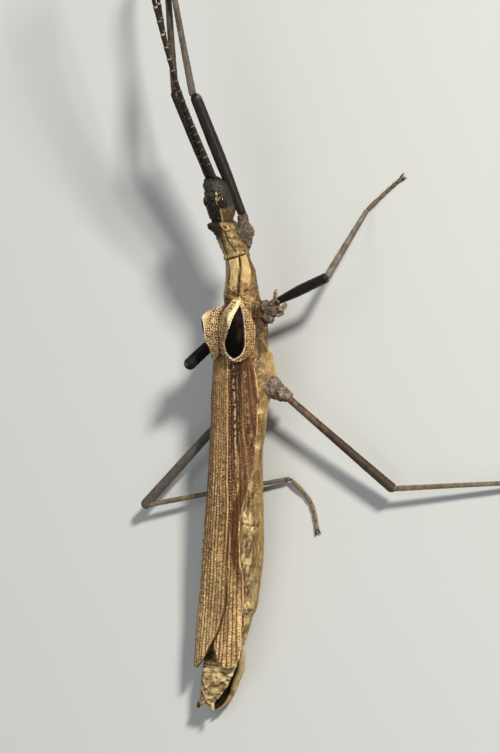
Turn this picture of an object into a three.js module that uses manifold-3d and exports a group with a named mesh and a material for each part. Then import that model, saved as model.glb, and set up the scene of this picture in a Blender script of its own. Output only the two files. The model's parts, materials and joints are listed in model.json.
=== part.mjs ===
// A winged stick insect, life size, standing still on a floor.
// Millimetres, +Z up. The head points along -Y, so the insect's right side is -X.
// The body is laid out along its own axis: a station is the distance from the front of the
// head towards the tail, and every place on the body is (station, right, up) from that axis.
import * as THREE from 'three';
import Module from 'manifold-3d';
import { mergeVertices } from 'three/addons/utils/BufferGeometryUtils.js';

const wasm = await Module();
wasm.setup();

// ---- driving dimensions ----
const BODY_LENGTH = 65;
const PITCH = THREE.MathUtils.degToRad(6);      // head higher than tail
const ROLL = THREE.MathUtils.degToRad(8);       // back leans to the insect's left
const MIDDLE_STATION = 24.2;                    // the station that stands over x = 0, y = 0
const MIDDLE_HEIGHT = 5.6;                      // height of the body axis there
const BOX_MIDDLE = [-13.8, -11.4];               // middle of the finished outline, seen from above
const GAP = 0.08;                               // clearance between neighbouring pieces
const BODY_SIDES = 20;
const WING_THICKNESS = 0.5;
const WING_START = 22.3;
const WING_END = 59.7;
const TEGMEN_START = 14.6;
const TEGMEN_END = 22.2;
const TEGMEN_THICKNESS = 0.55;
const FLOOR = 0;

// ---- colours ----
const TAN = 0x9c8460;
const CREAM = 0xcbb994;
const BLACK_BROWN = 0x2e2622;
const GREY_BROWN = 0x75665a;
const EYE_BROWN = 0x2a1a10;

// Centre line and cross-section of the body, head and all. Each row is a station, how far the
// centre lies to the right of and above the axis, the half width, the height of the back above
// the centre and the depth of the belly under it, and the squareness of the section.
const BODY_ROWS = [
  [0.0, -3.60, 3.55, 0.55, 0.45, 0.80, 2.0],
  [0.4, -3.50, 3.45, 1.15, 0.85, 1.30, 2.1],
  [1.2, -3.26, 3.28, 1.50, 1.20, 1.60, 2.2],
  [2.6, -2.88, 2.95, 1.72, 1.45, 1.70, 2.2],
  [4.0, -2.65, 2.64, 1.86, 1.50, 1.60, 2.2],
  [5.0, -2.72, 2.42, 1.58, 1.30, 1.35, 2.1],
  [5.6, -2.62, 2.28, 1.36, 1.15, 1.20, 2.1],
  [6.2, -2.18, 2.15, 1.75, 1.45, 1.40, 2.2],
  [8.0, -1.32, 1.66, 1.80, 1.60, 1.60, 2.2],
  [9.8, -0.82, 1.16, 1.62, 1.45, 1.50, 2.2],
  [11.2, -0.45, 0.85, 1.85, 1.65, 1.70, 2.2],
  [13.5, -0.35, 0.50, 2.00, 1.90, 1.75, 2.3],
  [15.5, -0.20, 0.22, 2.38, 2.00, 2.00, 2.4],
  [18.5, 0.00, 0.00, 2.95, 1.95, 2.35, 2.6],
  [21.5, 0.00, 0.00, 3.10, 1.80, 2.60, 2.8],
  [24.5, 0.00, 0.00, 3.10, 1.75, 2.80, 2.8],
  [27.0, 0.05, 0.00, 3.10, 1.75, 2.55, 2.8],
  [30.0, 0.25, 0.00, 3.12, 1.75, 2.55, 2.8],
  [33.0, 0.05, 0.00, 2.98, 1.75, 2.55, 2.9],
  [40.0, 0.34, 0.00, 3.36, 1.75, 2.60, 2.9],
  [46.0, 0.48, 0.00, 3.70, 1.80, 2.70, 2.9],
  [50.4, 0.46, 0.00, 3.56, 1.70, 2.50, 2.8],
  [52.5, 0.40, 0.00, 3.40, 1.64, 2.30, 2.8],
  [53.2, 0.20, 0.00, 3.16, 1.60, 2.20, 2.8],
  [55.5, 0.05, 0.10, 2.86, 1.50, 1.90, 2.7],
  [58.0, -0.10, 0.25, 2.60, 1.50, 1.35, 2.6],
  [60.5, -0.50, 0.45, 2.25, 1.35, 1.15, 2.6],
  [62.2, -0.75, 0.80, 1.95, 1.10, 1.00, 2.5],
  [63.3, -1.00, 0.95, 1.45, 0.92, 0.90, 2.4],
  [64.2, -1.43, 1.10, 1.17, 0.77, 0.70, 2.3],
  [BODY_LENGTH, -1.64, 1.15, 0.90, 0.55, 0.55, 2.2],
];

// The back that the wings lie on, which stays wide where the abdomen tapers. Same columns.
const WING_ROWS = [
  [WING_START, 0.00, 0.00, 3.15, 1.90, 2.5, 2.8],
  [27.0, 0.00, 0.00, 3.20, 1.88, 2.5, 2.8],
  [30.0, 0.22, 0.00, 3.22, 1.85, 2.5, 2.8],
  [33.0, 0.10, 0.00, 3.05, 1.83, 2.6, 2.9],
  [40.0, 0.38, 0.00, 3.42, 1.83, 2.6, 2.9],
  [46.0, 0.50, 0.00, 3.74, 1.88, 2.6, 2.9],
  [50.4, 0.46, 0.02, 3.66, 1.84, 2.4, 2.9],
  [53.2, 0.15, 0.05, 3.55, 1.80, 2.2, 2.8],
  [57.0, -0.15, 0.20, 3.30, 1.75, 1.8, 2.7],
  [WING_END, -0.20, 0.30, 3.15, 1.70, 1.5, 2.6],
];

// How far the wings' shared edge lies to the right of the middle of the back.
const WING_SEAM = [
  [WING_START, 2.4], [31, 2.5], [37, 2.3], [41.5, 1.75], [46, 1.5], [52.2, 1.45],
  [53.5, 1.0], [55.5, 0.3], [57.3, -0.9], [WING_END, -2.1],
];
// How far the outer edge of a wing lies above the body's centre.
const WING_OUTER_EDGE = [
  [WING_START, 0.9], [28, 1.0], [35, 0.6], [39.5, 1.2], [42, 1.75], [53, 1.6],
  [57, 1.0], [WING_END, 1.1],
];

// ---- frame of the body ----
const HEADWARD = new THREE.Vector3(0, -Math.cos(PITCH), Math.sin(PITCH));
const UNROLLED_UP = new THREE.Vector3(0, Math.sin(PITCH), Math.cos(PITCH));
const RIGHT = new THREE.Vector3(-1, 0, 0)
  .multiplyScalar(Math.cos(ROLL))
  .addScaledVector(UNROLLED_UP, Math.sin(ROLL));
const UP = UNROLLED_UP.clone()
  .multiplyScalar(Math.cos(ROLL))
  .addScaledVector(new THREE.Vector3(1, 0, 0), Math.sin(ROLL));

/** A point of the body, from its station and its distances to the right of and above the axis. */
function place(station, right, up) {
  return new THREE.Vector3(0, 0, MIDDLE_HEIGHT)
    .addScaledVector(HEADWARD, MIDDLE_STATION - station)
    .addScaledVector(RIGHT, right)
    .addScaledVector(UP, up);
}

/** The row of a table at a station, with straight stretches between the rows given. */
function rowAt(rows, station) {
  const last = rows.length - 1;
  let i = 0;
  while (i < last - 1 && rows[i + 1][0] < station) i += 1;
  const [low, high] = [rows[i], rows[i + 1]];
  const share = THREE.MathUtils.clamp((station - low[0]) / (high[0] - low[0]), 0, 1);
  return low.map((value, column) => THREE.MathUtils.lerp(value, high[column], share));
}

/** A point of the body's outline at an angle from its right side, moved out by `grow`. */
function outline(station, angle, grow = 0, reach = 1, rows = BODY_ROWS) {
  const [, right, up, halfWidth, back, belly, square] = rowAt(rows, station);
  const power = 2 / square;
  const across = Math.sign(Math.cos(angle)) * Math.abs(Math.cos(angle)) ** power;
  const above = Math.sign(Math.sin(angle)) * Math.abs(Math.sin(angle)) ** power;
  const height = above > 0 ? back : belly;
  return [right + reach * across * (halfWidth + grow), up + reach * above * (height + grow)];
}

// ---- building blocks ----
const insect = new THREE.Group();

/** Adds a closed shape as a named piece. */
function piece(name, geometry, color, roughness = 0.6) {
  const material = new THREE.MeshStandardMaterial({ color, roughness, metalness: 0 });
  const mesh = new THREE.Mesh(geometry, material);
  mesh.name = name;
  insect.add(mesh);
}

/** Moves every vertex of a geometry to where `rule` sends it. */
function reshape(geometry, rule) {
  const position = geometry.attributes.position;
  const point = new THREE.Vector3();
  for (let i = 0; i < position.count; i += 1) {
    point.fromBufferAttribute(position, i);
    const moved = rule(point);
    moved.z = Math.max(moved.z, FLOOR);
    position.setXYZ(i, moved.x, moved.y, moved.z);
  }
  geometry.deleteAttribute('normal');
  geometry.deleteAttribute('uv');
  return mergeVertices(geometry, 1e-4);
}

/** A length of the body between two stations, with rings at the given stations. */
function trunk(stations, grow = 0) {
  const rings = stations.length - 1;
  const tube = new THREE.CylinderGeometry(1, 1, rings, BODY_SIDES, rings);
  return reshape(tube, (p) => {
    const station = stations[Math.round(p.y + rings / 2)];
    const reach = Math.min(1, Math.hypot(p.x, p.z));
    const [right, up] = outline(station, Math.atan2(p.z, -p.x), grow, reach);
    return place(station, right, up);
  });
}

/** Stations from first to last, with those of the body's rows that lie between them. */
function stationsBetween(first, last) {
  const inner = BODY_ROWS.map((row) => row[0]).filter((s) => s > first + 0.3 && s < last - 0.3);
  return [first, ...inner, last];
}

/** A limb along a curve. Each stop is [share of the length, half width, half height]. */
function limb(curve, stops, sides = 8) {
  const rings = stops.length - 1;
  const tube = new THREE.CylinderGeometry(1, 1, rings, sides, rings);
  return reshape(tube, (p) => {
    const [share, wide, high] = stops[Math.round(p.y + rings / 2)];
    const along = curve.getTangentAt(share);
    const side = new THREE.Vector3(0, 0, 1).cross(along).normalize();
    const top = along.clone().cross(side);
    return curve.getPointAt(share)
      .addScaledVector(side, p.x * wide)
      .addScaledVector(top, -p.z * (high ?? wide));
  });
}

/** Stops that round off both ends of a limb whose half width goes from `first` to `last`. */
function roundedStops(length, first, last, middle = (first + last) / 2) {
  const start = first / length;
  const end = 1 - last / length;
  return [
    [0, first * 0.6], [start * 0.6, first], [0.3, (first + middle) / 2], [0.5, middle],
    [0.75, (last + middle) / 2], [1 - (1 - end) * 0.6, last], [1, last * 0.6],
  ];
}

/** A bent limb segment between two points; `bow` lifts its middle. */
function segment(from, to, first, last, { bow = [0, 0, 0], middle, sides = 8 } = {}) {
  const halfway = from.clone().lerp(to, 0.5).add(new THREE.Vector3(...bow));
  const curve = new THREE.QuadraticBezierCurve3(from, halfway, to);
  return limb(curve, roundedStops(curve.getLength(), first, last, middle), sides);
}

/** An egg shape with its own three half sizes, its long axis turned to `along`. */
function egg(centre, halfSizes, along = new THREE.Vector3(0, 0, 1)) {
  const ball = new THREE.SphereGeometry(1, 10, 6);
  ball.scale(...halfSizes);
  const turn = new THREE.Quaternion();
  turn.setFromUnitVectors(new THREE.Vector3(0, 0, 1), along.clone().normalize());
  ball.applyQuaternion(turn);
  ball.translate(centre.x, centre.y, centre.z);
  return reshape(ball, (p) => p.clone());
}

function asSolid(geometry) {
  const merged = mergeVertices(geometry, 1e-4);
  return new wasm.Manifold(new wasm.Mesh({
    numProp: 3,
    vertProperties: Float32Array.from(merged.attributes.position.array),
    triVerts: Uint32Array.from(merged.index.array),
  }));
}

function asGeometry(solid) {
  const mesh = solid.getMesh();
  const geometry = new THREE.BufferGeometry();
  geometry.setAttribute('position', new THREE.BufferAttribute(mesh.vertProperties, 3));
  geometry.setIndex(new THREE.BufferAttribute(mesh.triVerts, 1));
  return geometry;
}

/** A geometry with others joined on, and others taken away. */
function carve(geometry, { add = [], cut = [] }) {
  let solid = asSolid(geometry);
  for (const extra of add) solid = solid.add(asSolid(extra));
  for (const gone of cut) solid = solid.subtract(asSolid(gone));
  return asGeometry(solid);
}

// ---- head ----
const HEAD_END = 5.55;
const EYE_STATION = 2.7;
const EYE_SIZE = [0.70, 0.92, 0.70];
const EYE_OUT = 1.14;
const EYE_UP = 0.70;

function eye(side, grow = 0) {
  const [, right, up] = rowAt(BODY_ROWS, EYE_STATION);
  const centre = place(EYE_STATION, right + side * EYE_OUT, up + EYE_UP);
  return egg(centre, EYE_SIZE.map((half) => half + grow));
}

function makeHead() {
  const skull = trunk(stationsBetween(0, HEAD_END));
  const eyeRoom = [eye(1, GAP), eye(-1, GAP)];
  piece('head', carve(skull, { cut: eyeRoom }), GREY_BROWN);
  piece('eye_right', eye(1), EYE_BROWN, 0.15);
  piece('eye_left', eye(-1), EYE_BROWN, 0.15);
}

// ---- antennae ----
const ANTENNA_LENGTHS = 3;
const ANTENNA_THICK = 0.34;
const ANTENNA_THIN = 0.25;
const ANTENNA_ROUTES = {
  right: [
    [3.3, -23.5, 11.8], [6.7, -32.9, 15.9], [8.6, -40.5, 18.9], [10.2, -48.6, 21.8],
    [11.2, -56.0, 23.6], [11.6, -64.0, 24.6],
  ],
  left: [
    [4.4, -23.5, 11.6], [7.4, -32.4, 14.7], [9.4, -39.7, 16.9], [10.5, -47.6, 19.2],
    [12.2, -55.4, 20.9], [15.0, -62.8, 21.8],
  ],
};

function makeAntenna(side) {
  const route = ANTENNA_ROUTES[side].map((p) => new THREE.Vector3(...p));
  const curve = new THREE.CatmullRomCurve3(route);
  const steps = 4;
  for (let part = 0; part < ANTENNA_LENGTHS; part += 1) {
    const first = part / ANTENNA_LENGTHS + 0.001;
    const last = (part + 1) / ANTENNA_LENGTHS - 0.001;
    const stops = [];
    for (let i = 0; i <= steps; i += 1) {
      const share = THREE.MathUtils.lerp(first, last, i / steps);
      stops.push([share, THREE.MathUtils.lerp(ANTENNA_THICK, ANTENNA_THIN, share)]);
    }
    piece(`antenna_${side}_${part + 1}`, limb(curve, stops, 6), BLACK_BROWN);
  }
}

// ---- thorax and abdomen ----
const BODY_PIECES = [
  ['prothorax', 5.65, 9.75, GREY_BROWN],
  ['mesothorax', 9.85, 17.0, CREAM],
  ['metathorax', 17.1, 26.0, TAN],
  ['abdomen_2', 26.1, 33.0, TAN],
  ['abdomen_3', 33.1, 37.4, TAN],
  ['abdomen_4', 37.5, 42.0, TAN],
  ['abdomen_5', 42.1, 47.0, TAN],
  ['abdomen_6', 47.1, 52.4, TAN],
  ['abdomen_7', 52.5, 56.8, TAN],
  ['abdomen_tip', 56.9, BODY_LENGTH, CREAM],
];

/** The swollen side of the hind thorax, in front of the hind leg. */
function swelling(side, grow = 0) {
  const centre = place(24.1, side * 3.2, -1.65);
  return egg(centre, [0.85, 0.85, 2.4].map((half) => half + grow), HEADWARD);
}

function makeTrunk() {
  for (const [name, first, last, color] of BODY_PIECES) {
    const add = name === 'metathorax' ? [swelling(1), swelling(-1)] : [];
    piece(name, carve(trunk(stationsBetween(first, last)), { add }), color);
  }
}

// The operculum is a boat-shaped plate under the tail; the insect rests on its keel.
// Rows: station, right of the axis, half width, how far above the axis the keel and rim lie.
const OPERCULUM_ROWS = [
  [57.4, -0.05, 1.60, -1.75, -1.10], [58.6, 0.00, 2.10, -2.00, -1.00],
  [60.2, -0.02, 2.22, -1.97, -0.90], [61.8, -0.28, 1.92, -1.80, -0.65],
  [63.4, -0.48, 1.62, -1.45, -0.35], [64.6, -0.72, 1.22, -0.95, 0.00],
  [65.4, -1.00, 0.45, -0.30, 0.25],
];

function makeOperculum() {
  const rings = OPERCULUM_ROWS.length - 1;
  const boat = new THREE.CylinderGeometry(1, 1, rings, 14, rings);
  const shape = reshape(boat, (p) => {
    const [station, right, halfWidth, keel, rim] = OPERCULUM_ROWS[Math.round(p.y + rings / 2)];
    const depth = rim - keel;
    const up = rim - depth * 0.5 * (1 - p.z) ** 0.8;
    return place(station, right - p.x * halfWidth, Math.min(up, rim));
  });
  const tail = trunk(stationsBetween(56.0, BODY_LENGTH), GAP);
  piece('operculum', carve(shape, { cut: [tail] }), TAN);
}

const CERCUS_MIDDLE = -1.5;

function makeCerci() {
  for (const [name, side] of [['right', 1], ['left', -1]]) {
    const from = place(BODY_LENGTH - 0.45, CERCUS_MIDDLE + side * 1.05, 1.35);
    const to = place(BODY_LENGTH + 0.35, CERCUS_MIDDLE + side * 1.25, 1.4);
    const stalk = segment(from, to, 0.28, 0.25, { sides: 8 });
    piece(`cercus_${name}`, carve(stalk, { cut: [trunk([63.5, BODY_LENGTH], GAP)] }), CREAM);
  }
}

// ---- wings ----
/** The angle from the body's right side at which its outline reaches `right` on the back. */
function angleAcross(station, right) {
  const [, centre, , halfWidth, , , square] = rowAt(WING_ROWS, station);
  const share = THREE.MathUtils.clamp((right - centre) / halfWidth, -0.999, 0.999);
  return Math.acos(Math.sign(share) * Math.abs(share) ** (square / 2));
}

/** The angle from the body's right side at which its flank reaches `up` above the centre. */
function angleAbove(station, up) {
  const [, , , , back, , square] = rowAt(WING_ROWS, station);
  return Math.asin(Math.min(0.999, up / (back + WING_THICKNESS)) ** (square / 2));
}

function makeWing(name, edges) {
  const [across, along] = [7, 13];
  const sheet = new THREE.BoxGeometry(1, 1, 1, across, 1, along);
  const shape = reshape(sheet, (p) => {
    const station = THREE.MathUtils.lerp(WING_START, WING_END, p.z + 0.5);
    const [first, last] = edges(station);
    const angle = THREE.MathUtils.lerp(first, last, 0.5 - p.x);
    const grow = p.y > 0 ? WING_THICKNESS : 0;
    return place(station, ...outline(station, angle, grow, 1, WING_ROWS));
  });
  piece(name, shape, TAN);
}

function makeWings() {
  const seam = (station) => angleAcross(station, rowAt(WING_SEAM, station)[1]);
  const outer = (station) => angleAbove(station, rowAt(WING_OUTER_EDGE, station)[1]);
  makeWing('wing_right', (station) => [outer(station), seam(station) - 0.02]);
  makeWing('wing_left', (station) => [seam(station) + 0.02, Math.PI - outer(station)]);
}

// ---- tegmina: the short fore wings, each raised in a hump ----
// Rows: station, height at the middle, right and up of the crest, right and up of the outer edge.
const TEGMEN_ROWS = [
  [TEGMEN_START, 3.05, 1.10, 3.20, 2.70, 2.30],
  [15.5, 3.65, 1.80, 4.40, 2.95, 1.80],
  [16.9, 4.20, 2.35, 5.30, 3.20, 1.40],
  [18.3, 4.25, 2.25, 5.05, 3.40, 1.20],
  [19.8, 4.05, 2.10, 4.45, 3.45, 1.10],
  [21.0, 3.70, 2.00, 3.80, 3.45, 1.15],
  [TEGMEN_END, 3.15, 1.85, 3.15, 3.35, 1.60],
];

/** A pad's station at a share of its width: the front edge is notched, the rear edge round. */
function tegmenStation(along, share) {
  const fromCrest = share / 0.55 - 1;
  const front = TEGMEN_START + (fromCrest < 0 ? 1.6 : 3.2) * Math.abs(fromCrest) ** 1.5;
  const rear = TEGMEN_END - 1.1 * (2.2 * (share - 0.45)) ** 2;
  return THREE.MathUtils.lerp(front, rear, along);
}

function makeTegmen(name, side) {
  const across = 7;
  const rows = TEGMEN_ROWS.length - 1;
  const sheet = new THREE.BoxGeometry(1, 1, 1, across, 1, rows);
  const shape = reshape(sheet, (p) => {
    const row = TEGMEN_ROWS[Math.round((p.z + 0.5) * rows)];
    const along = (row[0] - TEGMEN_START) / (TEGMEN_END - TEGMEN_START);
    const share = 0.5 + side * p.x;
    const station = tegmenStation(along, share);
    const [, middle, crestRight, crestUp, edgeRight, edgeUp] = rowAt(TEGMEN_ROWS, station);
    const fold = 0.4;
    const inner = Math.min(share / fold, 1);
    const outer = Math.max((share - fold) / (1 - fold), 0);
    const bulge = 0.35 * Math.sin(Math.PI * outer);
    let right = GAP + (crestRight - GAP) * inner + (edgeRight - crestRight) * outer + bulge;
    let up = middle + (crestUp - middle) * inner ** 1.4 + (edgeUp - crestUp) * outer;
    if (p.y < 0) {
      const [inX, inZ] = [-right, 0.6 - up];
      const reach = Math.hypot(inX, inZ);
      right = Math.max(GAP, right + (inX / reach) * TEGMEN_THICKNESS);
      up += (inZ / reach) * TEGMEN_THICKNESS;
    }
    return place(station, side * right - 0.12, up);
  });
  piece(name, shape, CREAM);
}

// ---- legs: hip, knee, ankle and the points of the foot, in the floor's own frame ----
const LEGS = {
  fore_right: {
    coxa: [6.7, -0.3, 0.95, 1.3], hip: [3.9, -0.44, 1.04],
    knee: [8.8, -33.6, 10.3], ankle: [14.0, -46.6, 10.4],
    foot: [[16.0, -50.2, 10.0], [17.3, -52.4, 9.2]],
    femur: [0.50, 0.74, 0.68], tibia: [0.42, 0.36], color: BLACK_BROWN,
  },
  fore_left: {
    coxa: [7.4, -2.55, 0.75, 0.85], hip: [5.3, -3.45, 1.25],
    knee: [11.35, -33.8, 11.1], ankle: [15.8, -46.6, 8.9],
    foot: [[17.8, -50.0, 7.9], [19.0, -52.0, 7.0]],
    femur: [0.50, 0.68, 0.62], tibia: [0.42, 0.36], color: BLACK_BROWN,
  },
  mid_right: {
    coxa: [16.0, 2.55, -1.5, 1.0], hip: [14.5, 3.6, -1.8],
    knee: [-11.15, -13.2, 5.9], ankle: [-12.0, -21.9, 0.62],
    foot: [[-14.3, -24.4, 0.2], [-16.2, -26.1, 0.2]],
    femur: [0.42, 0.62, 0.58], tibia: [0.38, 0.3], color: BLACK_BROWN,
  },
  mid_left: {
    coxa: [16.4, -2.55, -1.5, 1.0], hip: [18.3, -3.4, -1.7],
    knee: [6.85, -0.2, 7.9], ankle: [4.7, -8.9, 0.62],
    foot: [[5.3, -11.4, 0.2], [6.2, -13.8, 0.2]],
    femur: [0.55, 0.72, 0.76], tibia: [0.32, 0.28], color: BLACK_BROWN,
  },
  hind_right: {
    coxa: [25.1, 3.15, -1.75, 1.35], hip: [26.3, 6.29, -2.22],
    knee: [-21.9, 11.4, 2.2], ankle: [-41.0, 8.1, 0.62],
    foot: [[-44.3, 8.3, 0.2], [-47.4, 9.6, 0.2]],
    femur: [0.42, 0.50, 0.60], tibia: [0.31, 0.27], color: GREY_BROWN,
  },
  hind_left: {
    coxa: [26.1, -3.0, -1.75, 1.0], hip: [29.6, -3.3, -2.3],
    knee: [15.05, 17.6, 2.0], ankle: [-5.5, 11.7, 0.62],
    foot: [[-8.6, 14.2, 0.2], [-10.1, 17.5, 0.2]],
    femur: [0.44, 0.56, 0.62], tibia: [0.31, 0.27], color: GREY_BROWN,
  },
};
const TROCHANTER_SIZE = [0.72, 0.72, 1.1];
const CLAW_LENGTH = 0.7;
const TOE_BEADS = 5;

/** The point at a distance from `from` on the way to `to`. */
function towards(from, to, distance) {
  return from.clone().addScaledVector(to.clone().sub(from).normalize(), distance);
}

/** The foot: five joints like beads, flat where they meet the floor, with two claws. */
function footShape(ankle, knee, points) {
  const start = towards(ankle, knee, -GAP);
  const curve = new THREE.CatmullRomCurve3([start, ...points]);
  const stops = [];
  for (let bead = 0; bead < TOE_BEADS; bead += 1) {
    stops.push([bead / TOE_BEADS, 0.26]);
    stops.push([(bead + 0.7) / TOE_BEADS, 0.32]);
  }
  stops.push([1, 0.24]);
  const end = curve.getPointAt(1);
  const along = curve.getTangentAt(1);
  const side = new THREE.Vector3(0, 0, 1).cross(along).normalize();
  const claws = [-1, 1].map((way) => {
    const root = end.clone().addScaledVector(along, -0.25).addScaledVector(side, way * 0.08);
    const tip = end.clone().addScaledVector(along, CLAW_LENGTH * 0.8)
      .addScaledVector(side, way * CLAW_LENGTH * 0.45);
    return limb(new THREE.LineCurve3(root, tip), [[0, 0.16], [1, 0.08]], 4);
  });
  return carve(limb(curve, stops, 6), { add: claws });
}

function makeLeg(name, leg) {
  const [station, right, up, size] = leg.coxa;
  const coxaCentre = place(station, right, up);
  const hip = place(...leg.hip);
  const knee = new THREE.Vector3(...leg.knee);
  const ankle = new THREE.Vector3(...leg.ankle);
  const points = leg.foot.map((p) => new THREE.Vector3(...p));
  const [hipHalf, middle, kneeHalf] = leg.femur;
  const nearBody = trunk(stationsBetween(Math.max(0, station - 8), station + 4), GAP);
  const body = carve(nearBody, { add: [swelling(1, GAP), swelling(-1, GAP)] });
  const outward = hip.clone().sub(coxaCentre);
  const trochanter = coxaCentre.clone().lerp(hip, 0.55);
  const coxa = (grow) => {
    const ball = egg(coxaCentre, [size, size, size * 1.15].map((half) => half + grow), outward);
    const link = egg(trochanter, TROCHANTER_SIZE.map((half) => half + grow), outward);
    return carve(ball, { add: [link] });
  };
  const bow = [0, 0, 0.15];
  const start = towards(hip, trochanter, 0.5);
  const femur = segment(start, knee, hipHalf, kneeHalf, { middle, bow });
  const shin = towards(knee, ankle, kneeHalf * 0.3);
  const room = segment(start, knee, hipHalf + GAP, kneeHalf + GAP, { middle: middle + GAP, bow });
  const tibia = segment(shin, ankle, ...leg.tibia);
  piece(`${name}_coxa`, carve(coxa(0), { cut: [body] }), leg.color);
  piece(`${name}_femur`, carve(femur, { cut: [coxa(GAP), body] }), leg.color);
  piece(`${name}_tibia`, carve(tibia, { cut: [room] }), leg.color);
  piece(`${name}_foot`, footShape(ankle, knee, points), leg.color);
}

makeHead();
makeAntenna('right');
makeAntenna('left');
makeTrunk();
makeOperculum();
makeCerci();
makeTegmen('tegmen_right', 1);
makeTegmen('tegmen_left', -1);
makeWings();
for (const [name, leg] of Object.entries(LEGS)) makeLeg(name, leg);
insect.position.set(-BOX_MIDDLE[0], -BOX_MIDDLE[1], 0);

export default insect;
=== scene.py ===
# %% [markdown]
# A winged stick insect, 65 mm long, as a still model of its real size. The lesson builds its
# skin, wings, legs and feelers around the fixed frame, which gives each part its place.
# Shapes are worked out in millimetres with numpy and go into their meshes in metres.

# %% Load the frame
import json
from functools import reduce
import bpy
import numpy as np
from mathutils import Matrix

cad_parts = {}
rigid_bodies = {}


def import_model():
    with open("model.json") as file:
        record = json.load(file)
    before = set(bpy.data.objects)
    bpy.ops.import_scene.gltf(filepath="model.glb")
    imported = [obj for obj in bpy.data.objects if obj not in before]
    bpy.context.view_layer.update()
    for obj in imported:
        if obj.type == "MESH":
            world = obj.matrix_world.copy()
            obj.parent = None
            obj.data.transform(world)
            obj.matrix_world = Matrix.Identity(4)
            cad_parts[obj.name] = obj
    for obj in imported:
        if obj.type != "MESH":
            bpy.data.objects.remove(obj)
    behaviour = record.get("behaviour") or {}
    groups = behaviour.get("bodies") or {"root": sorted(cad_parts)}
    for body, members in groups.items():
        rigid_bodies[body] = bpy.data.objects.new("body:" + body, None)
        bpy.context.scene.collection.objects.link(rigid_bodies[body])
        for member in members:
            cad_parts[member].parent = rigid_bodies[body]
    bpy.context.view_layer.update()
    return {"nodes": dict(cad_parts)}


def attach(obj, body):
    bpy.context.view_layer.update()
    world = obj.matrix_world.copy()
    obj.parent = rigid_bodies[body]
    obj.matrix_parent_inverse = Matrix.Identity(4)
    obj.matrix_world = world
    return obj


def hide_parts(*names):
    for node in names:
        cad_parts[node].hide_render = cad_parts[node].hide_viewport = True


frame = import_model()
print("nodes in the frame:", len(frame["nodes"]))

# %% [markdown]
# The insect's body is nearly straight, but it is pitched up at the head and leans to one side.
# Turning finished meshes would leave a turn on each object, so every shape is worked out in the
# body's own measures instead: a station along the body from the front of the head, and the
# distances to the right of and above its axis. One function turns those into a place.

# %% Body measures and the axes of the body
MM = 0.001
PITCH = np.radians(6)
ROLL = np.radians(8)
MIDDLE_STATION = 24.2
MIDDLE = np.array([13.8, 11.4, 5.6])
FLOOR_SHIFT = np.array([13.8, 11.4, 0])
HEADWARD = np.array([0, -np.cos(PITCH), np.sin(PITCH)])
UNROLLED_UP = np.array([0, np.sin(PITCH), np.cos(PITCH)])
RIGHT = np.array([-1, 0, 0]) * np.cos(ROLL) + UNROLLED_UP * np.sin(ROLL)
UP = UNROLLED_UP * np.cos(ROLL) + np.array([1, 0, 0]) * np.sin(ROLL)


def place(station, right, up):
    """Place on the body: the middle, plus the steps headward, right and up along its axes."""
    station, right, up = np.broadcast_arrays(station, right, up)
    headward = (MIDDLE_STATION - station)[..., None] * HEADWARD
    return MIDDLE + headward + right[..., None] * RIGHT + up[..., None] * UP


print("head points along", HEADWARD.round(3))

# %% [markdown]
# Measures change smoothly along the body. A spline may swing past its points, so sizes follow a
# curve that never does. Marks are built from a smooth step, a band of two steps, and a bell.

# %% Smooth curves and marks
def glide(knots, x):
    """A smooth curve through (x, value) knots: cubic pieces whose slope at a knot is the
    harmonic mean of the slopes on its two sides, or flat where the curve turns back."""
    at, value = np.asarray(knots, float).T
    step = np.diff(at)
    rise = np.diff(value) / step
    slope = np.zeros_like(value)
    total = rise[1:] + rise[:-1]
    same = rise[1:] * rise[:-1] > 0
    slope[1:-1] = np.where(same, 2 * rise[1:] * rise[:-1] / np.where(same, total, 1), 0)
    slope[0], slope[-1] = rise[0], rise[-1]
    i = np.clip(np.searchsorted(at, x) - 1, 0, len(at) - 2)
    t = np.clip((x - at[i]) / step[i], 0, 1)
    low = (1 + 2 * t) * (1 - t) ** 2 * value[i] + t * (1 - t) ** 2 * step[i] * slope[i]
    high = t * t * (3 - 2 * t) * value[i + 1] - t * t * (1 - t) * step[i] * slope[i + 1]
    return low + high


def ease(low, high, x):
    """0 below low, 1 above high, and a smooth S between them."""
    t = np.clip((x - low) / (high - low), 0, 1)
    return t * t * (3 - 2 * t)


def band(x, low, high, soft):
    """1 between low and high, falling to 0 over `soft` on each side."""
    return ease(low - soft, low + soft, x) * (1 - ease(high - soft, high + soft, x))


def hump(x, middle, half):
    """A bell: 1 at the middle, and about a third at `half` from it."""
    return np.exp(-(((x - middle) / half) ** 2))


def strongest(*shares):
    """The largest of several shares at each point."""
    return reduce(np.maximum, shares)


print("a step, a band and a bell:", ease(0, 1, 0.3), band(0.5, 0, 1, 0.1), round(hump(1, 0, 1), 2))

# %% [markdown]
# Real cuticle is covered with grains, pits and wrinkles. Two kinds of random pattern make them:
# soft noise, from random numbers on a lattice that are blended between its corners, and pebbles,
# from the distance to the nearest of many scattered points. Both are worked out from places in
# space, so they have no seam where a surface closes on itself.

# %% Random patterns in space
NUMBERS = np.random.default_rng(17).random((4096, 4))
CORNERS = np.array(list(np.ndindex(2, 2, 2)))
NEIGHBOURS = np.array(list(np.ndindex(3, 3, 3))) - 1


def numbers_at(cell, seed):
    """Four fixed random numbers for each whole-number cell, found by mixing its three parts."""
    mixed = cell[..., 0] * 73856093 ^ cell[..., 1] * 19349663 ^ cell[..., 2] * 83492791
    return NUMBERS[(mixed + seed * 7919) % len(NUMBERS)]


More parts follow.
